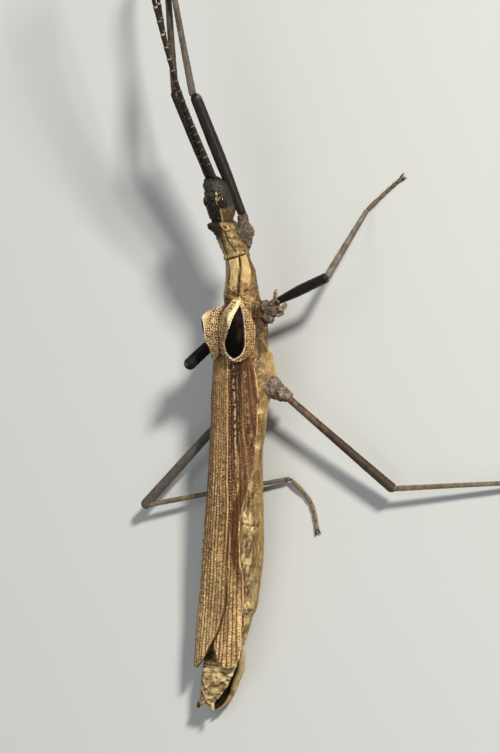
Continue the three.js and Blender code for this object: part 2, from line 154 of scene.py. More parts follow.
def noise(at, size, seed):
    """Soft noise from 0 to 1 with lumps about `size` across (one number, or one for each axis)."""
    p = np.asarray(at) / size
    cell = np.floor(p).astype(np.int64)
    share = p - cell
    share = share * share * (3 - 2 * share)
    total = 0
    for corner in CORNERS:
        weight = np.prod(np.where(corner == 1, share, 1 - share), axis=-1)
        total = total + weight * numbers_at(cell + corner, seed)[..., 0]
    return total


def drawn_noise(at, across, along, seed):
    """Soft noise with lumps `across` wide and high, but `along` long in Y, as the body lies."""
    return noise(at, np.array([across, along, across]), seed)


def pebbles(at, spacing, seed):
    """Distance to the nearest scattered point, in spacings, and that point's own number."""
    p = np.asarray(at) / spacing
    cell = np.floor(p).astype(np.int64)
    nearest = np.full(p.shape[:-1], 9.0)
    number = np.zeros(p.shape[:-1])
    for step in NEIGHBOURS:
        values = numbers_at(cell + step, seed)
        gap = np.linalg.norm(cell + step + values[..., :3] - p, axis=-1)
        closer = gap < nearest
        nearest = np.where(closer, gap, nearest)
        number = np.where(closer, values[..., 3], number)
    return nearest, number


def grains(at, spacing, size, share, seed):
    """Round grains: 1 on top of a grain and 0 between grains; `share` of the points have one."""
    gap, number = pebbles(at, spacing, seed)
    return (1 - ease(0, size, gap)) * (number < share)


print("one noise value:", float(noise(np.array([1.5, 2.5, 3.5]), 1.0, 0)))

# %% [markdown]
# Every part here is a closed skin: a row of rings, each ring a loop of points, shut at both ends.
# A texture could only fake grains and folds, so the points themselves are lifted along the
# normal. Each also gets shares of paint (pale, dark, warm, grey) and its relief, for the finishes.

# %% A skin of rings
def outward_sign(at):
    """+1 if the grid's normals, around x along, point away from its middle line, else -1."""
    around = np.roll(at, -1, 1) - np.roll(at, 1, 1)
    normal = np.cross(around, np.gradient(at, axis=0))
    return np.sign(np.sum(normal * (at - at.mean(axis=1, keepdims=True))))


def lift(at, height):
    """Moves each point of the rings along the surface's own normal by its height."""
    around = np.roll(at, -1, 1) - np.roll(at, 1, 1)
    normal = np.cross(around, np.gradient(at, axis=0)) * outward_sign(at)
    length = np.linalg.norm(normal, axis=-1, keepdims=True)
    return at + normal / np.maximum(length, 1e-9) * height[..., None]


def skin(at, height=0, pale=0, dark=0, warm=0, grey=0, deep=0.12):
    """A skin of rings `at`, raised by `height`, with its paint shares. Relief is the height over
    `deep`, from 0 in the pits to 1 on the tops."""
    shape = at.shape[:2]
    height = np.broadcast_to(height, shape)
    paint = [np.clip(np.broadcast_to(m, shape), 0, 1) for m in (pale, dark, warm, grey)]
    relief = np.clip(0.5 + 0.5 * height / deep, 0, 1)
    return {"at": lift(at, height), "paint": np.stack(paint, -1), "relief": relief}


print("each point carries four paint shares and its relief")

# %% [markdown]
# The faces between rings follow one rule, so numpy writes all their corners at once, and a fan of
# triangles closes each end. One object may hold several skins that run into one another.

# %% From rings to a mesh
def with_poles(grid):
    """The rings' values as one list, followed by the means of the first and the last ring."""
    flat = grid.reshape(-1, *grid.shape[2:])
    return np.concatenate([flat, grid[:1].mean(axis=1), grid[-1:].mean(axis=1)])


def ring_faces(rings, sides):
    """Corner lists: four-cornered faces between rings, and a fan of triangles on each pole."""
    row = (np.arange(rings - 1) * sides)[:, None]
    here = np.arange(sides)[None, :]
    after = (here + 1) % sides
    quads = np.stack([row + here, row + after, row + sides + after, row + sides + here], -1)
    pole = np.full(sides, rings * sides)
    end = (rings - 1) * sides
    first = np.stack([after[0], here[0], pole], -1)
    last = np.stack([end + here[0], end + after[0], pole + 1], -1)
    return quads.reshape(-1, 4), np.concatenate([first, last])


def into_scene(name, data):
    """A new object of some data, linked into the scene."""
    thing = bpy.data.objects.new(name, data)
    bpy.context.scene.collection.objects.link(thing)
    return thing


def build(name, skins, material, nodes=()):
    """Joins closed skins into one mesh object that rides on the root and replaces its nodes."""
    points, paint, relief, corners, counts = [], [], [], [], []
    start = 0
    for part in skins:
        rings, sides = part["at"].shape[:2]
        quads, fans = ring_faces(rings, sides)
        if outward_sign(part["at"]) < 0:
            quads, fans = quads[:, ::-1], fans[:, ::-1]
        corners += [(quads + start).ravel(), (fans + start).ravel()]
        counts += [np.full(len(quads), 4), np.full(len(fans), 3)]
        points.append(with_poles(part["at"]))
        paint.append(with_poles(part["paint"]))
        relief.append(with_poles(part["relief"]))
        start += rings * sides + 2
    points = np.concatenate(points) * MM
    points[:, 2] = np.maximum(points[:, 2], 0)
    corners, counts = np.concatenate(corners), np.concatenate(counts)
    mesh = bpy.data.meshes.new(name)
    mesh.vertices.add(len(points))
    mesh.vertices.foreach_set("co", points.astype(np.float32).ravel())
    mesh.loops.add(len(corners))
    mesh.loops.foreach_set("vertex_index", corners.astype(np.int32))
    mesh.polygons.add(len(counts))
    starts = np.concatenate([[0], np.cumsum(counts)[:-1]])
    mesh.polygons.foreach_set("loop_start", starts.astype(np.int32))
    mesh.update(calc_edges=True)
    mesh.validate()
    mesh.shade_smooth()
    colours = mesh.attributes.new("paint", "FLOAT_COLOR", "POINT")
    colours.data.foreach_set("color", np.concatenate(paint).astype(np.float32).ravel())
    heights = mesh.attributes.new("relief", "FLOAT", "POINT")
    heights.data.foreach_set("value", np.concatenate(relief).astype(np.float32).ravel())
    mesh.materials.append(material)
    piece = into_scene(name, mesh)
    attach(piece, "root")
    if nodes:
        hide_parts(*nodes)
    print(f"{name}: {len(points)} points, {int((counts - 2).sum())} triangles")


print("faces of 3 rings of 4 points:", [len(faces) for faces in ring_faces(3, 4)])

# %% [markdown]
# The finishes share one pattern. Insect skin has a ground colour with paler, darker, warmer and
# greyer marks, mottled by fine grain and by streaks along the body; painted shade darkens the
# pits and painted light brightens the tops.
# Separate node trees could do that for each part, but one node group, built once, does it for all
# from the paint shares and the relief. It puts out a colour, a roughness and a bump height.

# %% Helpers for node trees
def add_socket(group, name, kind, way="INPUT"):
    """Gives a node group an input or an output for a Color or a Float."""
    group.interface.new_socket(name=name, in_out=way, socket_type="NodeSocket" + kind)


def add_node(tree, kind, **settings):
    """A new node of a kind, with its settings."""
    node = tree.nodes.new(kind)
    for name, value in settings.items():
        setattr(node, name, value)
    return node


def mix_colours(tree, share, first, second, blend="MIX"):
    """A Mix node on colours; each input is a socket, a colour or a number."""
    node = add_node(tree, "ShaderNodeMix", data_type="RGBA", blend_type=blend)
    for socket, value in zip((node.inputs[0], node.inputs[6], node.inputs[7]), (share, first, second)):
        if isinstance(value, bpy.types.NodeSocket):
            tree.links.new(value, socket)
        else:
            socket.default_value = value
    return node.outputs[2]


def remap(tree, value, low, high, to_low, to_high):
    """A Map Range node from low..high to to_low..to_high."""
    node = add_node(tree, "ShaderNodeMapRange")
    tree.links.new(value, node.inputs[0])
    for i, number in enumerate((low, high, to_low, to_high)):
        node.inputs[i + 1].default_value = number
    return node.outputs[0]


def grey_of(tree, value):
    """A number as a grey colour."""
    node = add_node(tree, "ShaderNodeCombineColor")
    for socket in node.inputs[:3]:
        tree.links.new(value, socket)
    return node.outputs[0]


def noise_node(tree, vector, scale, detail):
    """A Noise Texture node read at a vector; its scale is a socket or a number."""
    node = add_node(tree, "ShaderNodeTexNoise")
    tree.links.new(vector, node.inputs["Vector"])
    if isinstance(scale, bpy.types.NodeSocket):
        tree.links.new(scale, node.inputs["Scale"])
    else:
        node.inputs["Scale"].default_value = scale
    node.inputs["Detail"].default_value = detail
    return node.outputs[0]


print("materials before any finish:", len(bpy.data.materials))

# %% [markdown]
# The group's pattern is in layers: four mixes by the paint shares, then three noises, one drawn
# out along the body, then the relief, which paints shade into pits and light onto tops. It reads Object
# coordinates.

# %% The cuticle node group
CUTICLE_COLOURS = ("Ground", "Pale", "Dark", "Warm", "Grey")
STREAK_SHORTENING = 0.22
STREAK_SCALE = 4200
BLOTCH_SCALE = 900


def make_cuticle():
    """Ground colour, mixed in turn with the warm, pale, grey and dark colours by their paint
    shares, then multiplied by three noises and by the relief, each as far as its input says; the
    relief paints shade into the pits and light onto the tops."""
    group = bpy.data.node_groups.new("cuticle", "ShaderNodeTree")
    for name in CUTICLE_COLOURS:
        add_socket(group, name, "Color")
    for name in ("Grain", "Mottle", "ReliefShade"):
        add_socket(group, name, "Float")
    for name, kind in (("Color", "Color"), ("Rough", "Float"), ("Height", "Float")):
        add_socket(group, name, kind, "OUTPUT")
    given = add_node(group, "NodeGroupInput").outputs
    out = add_node(group, "NodeGroupOutput").inputs
    paint = add_node(group, "ShaderNodeAttribute", attribute_name="paint")
    relief = add_node(group, "ShaderNodeAttribute", attribute_name="relief").outputs["Fac"]
    shares = add_node(group, "ShaderNodeSeparateColor")
    group.links.new(paint.outputs["Color"], shares.inputs[0])
    pale, dark, warm = shares.outputs
    grey = paint.outputs["Alpha"]
    colour = mix_colours(group, warm, given["Ground"], given["Warm"])
    colour = mix_colours(group, pale, colour, given["Pale"])
    colour = mix_colours(group, grey, colour, given["Grey"])
    colour = mix_colours(group, dark, colour, given["Dark"])
    place_at = add_node(group, "ShaderNodeTexCoord").outputs["Object"]
    stretch = add_node(group, "ShaderNodeMapping")
    group.links.new(place_at, stretch.inputs["Vector"])
    stretch.inputs["Scale"].default_value = (1, STREAK_SHORTENING, 1)
    fine = noise_node(group, place_at, given["Grain"], 3)
    streak = noise_node(group, stretch.outputs[0], STREAK_SCALE, 3)
    blotch = noise_node(group, place_at, BLOTCH_SCALE, 2)
    for pattern, low, high in ((fine, 0.60, 1.40), (streak, 0.70, 1.30), (blotch, 0.82, 1.18)):
        light = grey_of(group, remap(group, pattern, 0.25, 0.75, low, high))
        mottled = mix_colours(group, 1.0, colour, light, "MULTIPLY")
        colour = mix_colours(group, given["Mottle"], colour, mottled)
    # The relief paints shade into the pits and light onto the tops.
    shade = grey_of(group, remap(group, relief, 0.1, 0.9, 0.34, 1.28))
    relief_shaded = mix_colours(group, 1.0, colour, shade, "MULTIPLY")
    colour = mix_colours(group, given["ReliefShade"], colour, relief_shaded)
    group.links.new(colour, out["Color"])
    group.links.new(remap(group, fine, 0.2, 0.8, 0.42, 0.68), out["Rough"])
    height = mix_colours(group, 0.45, grey_of(group, fine), grey_of(group, streak))
    group.links.new(height, out["Height"])
    return group


CUTICLE = make_cuticle()
print("nodes in the cuticle group:", len(CUTICLE.nodes))

# %% [markdown]
# A finish is a material: the group's colour and roughness go to a plain shader, and its height to
# a Bump node. One function makes them all, so the skin, wings and legs stay alike in kind.

# %% Finishes of skin, wings and legs
FINE_BUMP_HEIGHT = 0.06 * MM


def finish_of(name, ground, pale, dark, warm, grey, grain=7000, mottle=0.8, relief_shade=0.8, bump=0.5,
              specular=0.25):
    """A material that puts the cuticle pattern on a plain shader with a fine bump."""
    material = bpy.data.materials.new(name)
    material.use_nodes = True
    tree = material.node_tree
    shader = tree.nodes["Principled BSDF"]
    group = add_node(tree, "ShaderNodeGroup", node_tree=CUTICLE)
    for socket, value in zip(group.inputs, (ground, pale, dark, warm, grey)):
        socket.default_value = (*value, 1)
    # The third of these sets how strongly the relief paints shade into pits and light onto tops.
    for socket, value in zip(group.inputs[len(CUTICLE_COLOURS):], (grain, mottle, relief_shade)):
        socket.default_value = value
    relief = add_node(tree, "ShaderNodeBump")
    relief.inputs["Strength"].default_value = bump
    relief.inputs["Distance"].default_value = FINE_BUMP_HEIGHT
    tree.links.new(group.outputs["Color"], shader.inputs["Base Color"])
    tree.links.new(group.outputs["Rough"], shader.inputs["Roughness"])
    tree.links.new(group.outputs["Height"], relief.inputs["Height"])
    tree.links.new(relief.outputs[0], shader.inputs["Normal"])
    shader.inputs["Specular IOR Level"].default_value = specular
    return material


TAN = (0.278, 0.174, 0.053)
CREAM = (0.59, 0.45, 0.222)
NEAR_BLACK = (0.010, 0.008, 0.005)
RUST = (0.145, 0.055, 0.016)
ASH = (0.060, 0.050, 0.034)

BODY_FINISH = finish_of("bark_skin", TAN, CREAM, NEAR_BLACK, RUST, ASH)
WING_FINISH = finish_of("wing_net", (0.28, 0.120, 0.040), (0.64, 0.435, 0.195), (0.048, 0.020, 0.007),
                        (0.130, 0.050, 0.016), (0.33, 0.27, 0.18))
TEGMEN_FINISH = finish_of("hump_net", (0.33, 0.195, 0.075), (0.78, 0.63, 0.38), (0.004, 0.003, 0.002),
                          (0.24, 0.10, 0.035), (0.86, 0.78, 0.60), specular=0.06)
LIMB_FINISH = finish_of("leg_skin", (0.175, 0.128, 0.078), (0.44, 0.37, 0.24), (0.006, 0.0045, 0.004),
                        (0.17, 0.070, 0.028), (0.168, 0.143, 0.122), specular=0.2)
print("finishes:", [finish.name for finish in (BODY_FINISH, WING_FINISH, TEGMEN_FINISH, LIMB_FINISH)])

# %% [markdown]
# The body is one skin from the face to the tail. Its section is a superellipse, rounder at the
# head and boxier under the wings, and a table gives its size along the body. The rings lie
# closer together where more shows: at the head and thorax, and at the tail.

# %% The body's plain form
BODY_LENGTH = 65
# station, right, up, half width, back, belly, squareness
BODY_ROWS = np.array([
    [0.0, -3.60, 3.55, 0.55, 0.45, 0.80, 2.0],
    [0.4, -3.50, 3.45, 1.15, 0.85, 1.30, 2.1],
    [1.2, -3.26, 3.28, 1.50, 1.20, 1.60, 2.2],
    [2.6, -2.88, 2.95, 1.72, 1.45, 1.70, 2.2],
    [4.0, -2.65, 2.64, 1.86, 1.50, 1.60, 2.2],
    [5.0, -2.72, 2.42, 1.58, 1.30, 1.35, 2.1],
    [5.6, -2.62, 2.28, 1.36, 1.15, 1.20, 2.1],
    [6.2, -2.18, 2.15, 1.75, 1.45, 1.40, 2.2],
    [8.0, -1.32, 1.66, 1.80, 1.60, 1.60, 2.2],
    [9.8, -0.82, 1.16, 1.62, 1.45, 1.50, 2.2],
    [11.2, -0.45, 0.85, 1.85, 1.65, 1.70, 2.2],
    [13.5, -0.35, 0.50, 2.00, 1.90, 1.75, 2.3],
    [15.5, -0.20, 0.22, 2.38, 2.00, 2.00, 2.4],
    [18.5, 0.00, 0.00, 2.95, 1.95, 2.35, 2.6],
    [21.5, 0.00, 0.00, 3.10, 1.80, 2.60, 2.8],
    [24.5, 0.00, 0.00, 3.10, 1.75, 2.80, 2.8],
    [27.0, 0.05, 0.00, 3.10, 1.75, 2.55, 2.8],
    [30.0, 0.25, 0.00, 3.12, 1.75, 2.55, 2.8],
    [33.0, 0.05, 0.00, 2.98, 1.75, 2.55, 2.9],
    [40.0, 0.34, 0.00, 3.36, 1.75, 2.60, 2.9],
    [46.0, 0.48, 0.00, 3.70, 1.80, 2.70, 2.9],
    [50.4, 0.46, 0.00, 3.56, 1.70, 2.50, 2.8],
    [52.5, 0.40, 0.00, 3.40, 1.64, 2.30, 2.8],
    [53.2, 0.20, 0.00, 3.16, 1.60, 2.20, 2.8],
    [55.5, 0.05, 0.10, 2.86, 1.50, 1.90, 2.7],
    [58.0, -0.10, 0.25, 2.60, 1.50, 1.35, 2.6],
    [60.5, -0.50, 0.45, 2.25, 1.35, 1.15, 2.6],
    [62.2, -0.75, 0.80, 1.95, 1.10, 1.00, 2.5],
    [63.3, -1.00, 0.95, 1.45, 0.92, 0.90, 2.4],
    [64.2, -1.43, 1.10, 1.17, 0.77, 0.70, 2.3],
    [BODY_LENGTH, -1.64, 1.15, 0.90, 0.55, 0.55, 2.2],
])


def row_at(rows, station):
    """Each measure of the table at the stations, along smooth curves through its rows."""
    return [glide(rows[:, [0, i]], station) for i in range(1, rows.shape[1])]


def outline(rows, station, angle, grow=0.0):
    """Right and up of the section at an angle from the insect's right side: a superellipse,
    cos and sin raised to 2 / squareness, with its own back and belly."""
    right, up, half_width, back, belly, square = row_at(rows, station)
    across = np.sign(np.cos(angle)) * np.abs(np.cos(angle)) ** (2 / square)
    above = np.sign(np.sin(angle)) * np.abs(np.sin(angle)) ** (2 / square)
    height = np.where(above > 0, back, belly)
    return right + across * (half_width + grow), up + above * (height + grow)


HEAD_STATIONS = np.linspace(0.02, 17, 250)
COVERED_STATIONS = np.linspace(17, 57, 280)[1:]
TAIL_STATIONS = np.linspace(57, 64.95, 112)[1:]
STATION = np.concatenate([HEAD_STATIONS, COVERED_STATIONS, TAIL_STATIONS])[:, None]
SIDES = 148
ANGLE = np.linspace(0, 2 * np.pi, SIDES, endpoint=False)[None, :]
TURN = np.degrees(ANGLE)
PLAIN_BODY = place(STATION, *outline(BODY_ROWS, STATION, ANGLE))
print("rings and sides of the body:", PLAIN_BODY.shape[:2])

# %% [markdown]
# Marks and swellings of the body are named by their station and their angle round the section,
# from the right side over the back. They could be sculpted by hand, but a bell or a band in those
# two measures says exactly where each one lies. Heights are in millimetres.

# %% Distances over the skin
def turn_from(angle):
    """Degrees round the section from a given angle, from -180 to 180."""
    return (TURN - angle + 180) % 360 - 180


GIRTH_RADIUS = np.mean([row_at(BODY_ROWS, STATION)[i] for i in (2, 3, 4)], axis=0)


def distance_to(station, angle, stretch=1.0):
    """Millimetres over the skin to a point, with distance along the body divided by stretch."""
    across = np.radians(turn_from(angle)) * GIRTH_RADIUS
    return np.hypot((STATION - station) / stretch, across)


def spot(station, angle, size, stretch=1.0):
    """A round bell on the skin: 1 at its middle and a third at `size` millimetres from it."""
    return hump(distance_to(station, angle, stretch), 0, size)


def twin_spots(station, angle, size, stretch=1.0):
    """A spot on the right side and the same spot mirrored to the left side."""
    return np.maximum(spot(station, angle, size, stretch), spot(station, 180 - angle, size, stretch))


def crater(station, angle, size, stretch=1.0):
    """A ring-shaped wart: a raised rim at `size` from its middle, and a pit inside."""
    gap = distance_to(station, angle, stretch)
    return hump(gap, size, size * 0.38), hump(gap, 0, size * 0.6)


print("mean radius of the body: %.2f mm" % GIRTH_RADIUS.mean())

# %% [markdown]
# Grains, lumps and fibres run over the whole body, so they are worked out once for all regions.
# The borders between the regions are named here too.

# %% The skin's own grain, and the borders of its regions
BACK_LINE = 98
FROM_BACK = np.abs(turn_from(BACK_LINE))
HEAD_BACK_LINE = 90
HEAD_FROM_BACK = np.abs(turn_from(HEAD_BACK_LINE))
HEAD_END = 5.6
EYE_STATION = 3.02
PRONOTUM_END = 9.8
MESOTHORAX_END = 17.0
FLANK_END = (57.5, 58.4)
JOINTS = (28.6, 33.0, 37.4, 42.0, 47.0, 52.4, 56.8)
LOBE_REACH = (0.48, 0.52, 0.5, 0.6, 0.6, 0.75, 0.5)
LOBE_ANGLE = (4, 5, 18, 38, 36, 20, 10)
# station, angle, size and stretch of the whitish patches behind the folds
CREAM_PATCHES = ((37.6, 24, 0.4, 1.8), (40.6, 46, 0.55, 2.2), (41.9, 36, 0.75, 1.5), (44.6, 44, 0.3, 4.0),
                 (47.6, 40, 0.8, 1.4), (49.2, 32, 0.5, 2.4), (51.6, 18, 0.6, 1.6))

lumps = noise(PLAIN_BODY, 0.5, 1)
fine_lumps = noise(PLAIN_BODY, 0.22, 2)
fibres = drawn_noise(PLAIN_BODY, 0.22, 1.6, 3)
warts = grains(PLAIN_BODY, 0.42, 0.55, 0.55, 4)
small_warts = grains(PLAIN_BODY, 0.26, 0.6, 0.6, 5)
tail_share = ease(*FLANK_END, STATION)


def tell(region, layer):
    """Prints how deep and how high a region's marks go, and hands them on."""
    print(f"{region}: relief from {layer[0].min():.2f} to {layer[0].max():.2f} mm")
    return layer


print("share of the skin with warts: %.2f" % (warts > 0.5).mean())

# %% [markdown]
# The head is black and granular above, with a cream stripe behind each eye and a smooth olive
# cheek below it. The crown's edge is a curve along the head whose raggedness comes from noise; a
# rim of pale spots rings the eye, whose socket is pressed into the skin.

# %% Marks of the head
def head_marks():
    """Black granular crown, cream stripe behind the eye, smooth olive cheek, rim round the eye."""
    here = 1 - ease(HEAD_END - 0.15, HEAD_END + 0.05, STATION)
    crown_edge = glide([[0, 31], [4, 31], [5.3, 39], [6, 42]], STATION)
    raggedness = glide([[0, 46], [2.3, 38], [3.3, 13], [6, 10]], STATION)
    crown_edge = crown_edge + raggedness * (drawn_noise(PLAIN_BODY, 0.35, 0.45, 7) - 0.5)
    crown = (1 - ease(-4, 5, HEAD_FROM_BACK - crown_edge)) * here
    stripe_at = crown_edge + 4
    stripe = hump(HEAD_FROM_BACK, stripe_at, 4.2) * band(STATION, 3.95, 5.75, 0.15)
    stripe = stripe * (0.7 + 0.5 * noise(PLAIN_BODY, 0.35, 8))
    # On the left side the stripe is dimmed to 0.45, as painted shade.
    stripe = stripe * np.where(TURN < 90, 1.0, 0.45)
    cheek = band(HEAD_FROM_BACK, 38, 128, 7) * here
    face = 1 - ease(0.35, 0.9, STATION)
    eye_gap = np.minimum(distance_to(EYE_STATION, 39, 1.3), distance_to(EYE_STATION, 141, 1.3))
    socket = hump(eye_gap, 0.76, 0.12) * here
    ridge = band(STATION, 1.5, 3.4, 0.25) * hump(HEAD_FROM_BACK, 33, 5) * here
    rim_spots = np.maximum(socket, ridge) * (noise(PLAIN_BODY, 0.26, 9) > 0.62)
    rim_spots = rim_spots * (HEAD_FROM_BACK < 55)
    ring, pit = crater(1.25, 22, 0.2)
    ring_left, pit_left = crater(1.25, 158, 0.2)
    ring, pit = np.maximum(ring, ring_left), np.maximum(pit, pit_left)
    spine = grains(PLAIN_BODY, 0.62, 0.34, 0.5, 10) * crown
    ashen = grains(PLAIN_BODY, 0.34, 0.5, 0.45, 6) * (1 - ease(2.0, 2.8, STATION))
    ashen = ashen * (HEAD_FROM_BACK < 75)
    wrinkle = drawn_noise(PLAIN_BODY, 0.35, 0.18, 11)
    height = 0.09 * warts * crown + 0.05 * lumps * crown + 0.11 * socket + 0.08 * ridge + 0.20 * spine
    height = height + 0.03 * small_warts * cheek + 0.05 * (wrinkle - 0.5) * here
    height = height + 0.12 * (ring - pit) + 0.04 * stripe - 0.22 * hump(eye_gap, 0.35, 0.4) * here
    furrow = hump(STATION, 1.9, 0.14) * band(HEAD_FROM_BACK, -1, 60, 10)
    nape = hump(STATION, 5.35, 0.14) * (HEAD_FROM_BACK < 110)
    height = height - 0.09 * furrow - 0.06 * nape
    mottled = (1 - ease(2.2, 3.0, STATION)) * (0.2 + 0.3 * ease(0.4, 0.6, fine_lumps))
    black_crown = (0.97 - mottled) * crown * (1 - 0.42 * warts * (lumps > 0.45))
    dark = strongest(black_crown, 0.96 * face, 0.9 * pit, 0.8 * hump(eye_gap, 0.62, 0.2) * here,
                     0.5 * nape * here)
    upper = 1 - ease(3.0, 4.4, STATION + 0.9 * (lumps - 0.5))
    dark = np.maximum(dark * (1 - stripe), cheek * (0.30 + 0.42 * upper) * (1 - 0.4 * small_warts))
    dark = dark * (1 - 0.5 * ring) * (1 - 0.45 * ashen)
    grey = here * (1 - stripe) * (1 - 0.55 * cheek * (1 - upper)) * (1 - rim_spots)
    grey = grey * (1 - 0.4 * ring)
    pale = strongest(0.95 * stripe, 0.8 * rim_spots, 0.26 * ring * lumps, 0.20 * ashen,
                     0.22 * warts * crown * (lumps > 0.52))
    dark = dark * (1 - 0.75 * rim_spots)
    warm = 0.3 * cheek * (1 - upper)
    return height * here, pale * here, dark * here, warm * here, grey


head_layer = tell("head", head_marks())

# %% [markdown]
# The first thorax plate is a small saddle: a collar in front, a groove forked over its middle and
# a raised hind border. Its left half is black and its right half is cream with rusty blotches.

# %% Marks of the first thorax plate
def pronotum_end():
    """The hind border of the first thorax plate lies a little askew."""
    return PRONOTUM_END - 0.05 + 0.0085 * np.clip(turn_from(65), -60, 60)


def pronotum_marks():
    """A saddle plate with a collar, two ring warts, a black left half and a dark hind border."""
    end = pronotum_end()
    before_end = 1 - ease(-0.03, 0.07, STATION - end)
    here = ease(HEAD_END - 0.05, HEAD_END + 0.15, STATION) * before_end
    paint_here = ease(HEAD_END - 0.2, HEAD_END - 0.08, STATION) * before_end
    ring, pit = crater(6.05, 52, 0.34)
    ring_left, pit_left = crater(6.2, 130, 0.36)
    corner = spot(6.15, 150, 0.62, 0.9)
    collar = hump(STATION, 5.95, 0.2)
    ragged = 9 * (lumps - 0.5)
    left = ease(74, 88, TURN + ragged) * (1 - ease(176, 190, TURN)) * (1 - ease(7.0, 8.2, STATION))
    left = np.maximum(left, band(TURN + ragged, 126, 190, 10))
    front = (1 - ease(7.0, 8.3, STATION + 1.6 * (lumps - 0.5))) * band(TURN + ragged, 72, 190, 8)
    hind = hump(STATION, end - 0.04, 0.09) * (FROM_BACK < 95)
    border = hump(STATION, end - 0.34, 0.2) * (FROM_BACK < 90)
    fork = glide([[6.6, 62], [7.6, 66], [8.6, 52], [9.4, 46]], STATION)
    groove = hump(TURN + ragged * 0.5, fork, 4.5) * band(STATION, 6.6, 9.1, 0.2)
    midline = hump(TURN, 96, 3.5) * band(STATION, 7.6, 9.4, 0.2)
    cross = hump(STATION, 7.35, 0.12) * (FROM_BACK < 70)
    height = 0.13 * collar + 0.14 * (ring + ring_left) - 0.16 * (pit + pit_left) + 0.34 * corner
    height = height + 0.09 * border - 0.15 * hind - 0.10 * groove - 0.05 * midline - 0.06 * cross
    height = height + 0.08 * small_warts + 0.09 * (lumps - 0.5)
    right_half = 0.66 * band(TURN, 30, 84, 8) * ease(6.4, 7.2, STATION) * (0.25 + 1.1 * fibres)
    left_half = 0.66 * band(TURN, 98, 124, 6) * ease(7.0, 8.2, STATION) * (0.3 + 0.9 * fibres)
    pale = strongest(ring * 0.7 * (0.4 + 0.9 * lumps), right_half, left_half,
                     0.42 * border * (0.5 + 0.7 * lumps))
    dark = strongest(0.94 * left * (1 - 0.25 * small_warts), 0.9 * hind, 0.85 * np.maximum(pit, pit_left),
                     0.75 * groove, 0.7 * midline, 0.94 * front * (1 - ring), 0.95 * corner,
                     0.96 * (STATION < 6.3) * ease(58, 72, TURN) * (TURN < 200) * (1 - ring),
                     0.6 * cross * (fine_lumps > 0.4), 0.6 * (fine_lumps > 0.56) * band(TURN, -60, 60, 10),
                     0.4 * band(TURN, 190, 340, 8))
    warm = strongest(0.8 * ease(0.42, 0.62, lumps) * band(TURN, 20, 84, 10), 0.6 * hump(TURN, fork, 9))
    pale = pale * (1 - 0.6 * ease(0.45, 0.65, lumps)) * (1 - 0.7 * groove)
    pale = pale * (1 - 0.9 * (STATION < 6.3) * ease(58, 72, TURN) * (TURN < 200))
    return height * here, pale * paint_here, dark * paint_here, warm * here, 0.4 * here * (TURN > 250)


pronotum_layer = tell("first thorax plate", pronotum_marks())

# %% [markdown]
# The second thorax plate is long. Cream bands run down it between dark lines, and towards the
# wings they break up into rusty blotches with grains and one yellow wart. The lines' angles are
# curves along the body, so the bands widen and narrow between them.

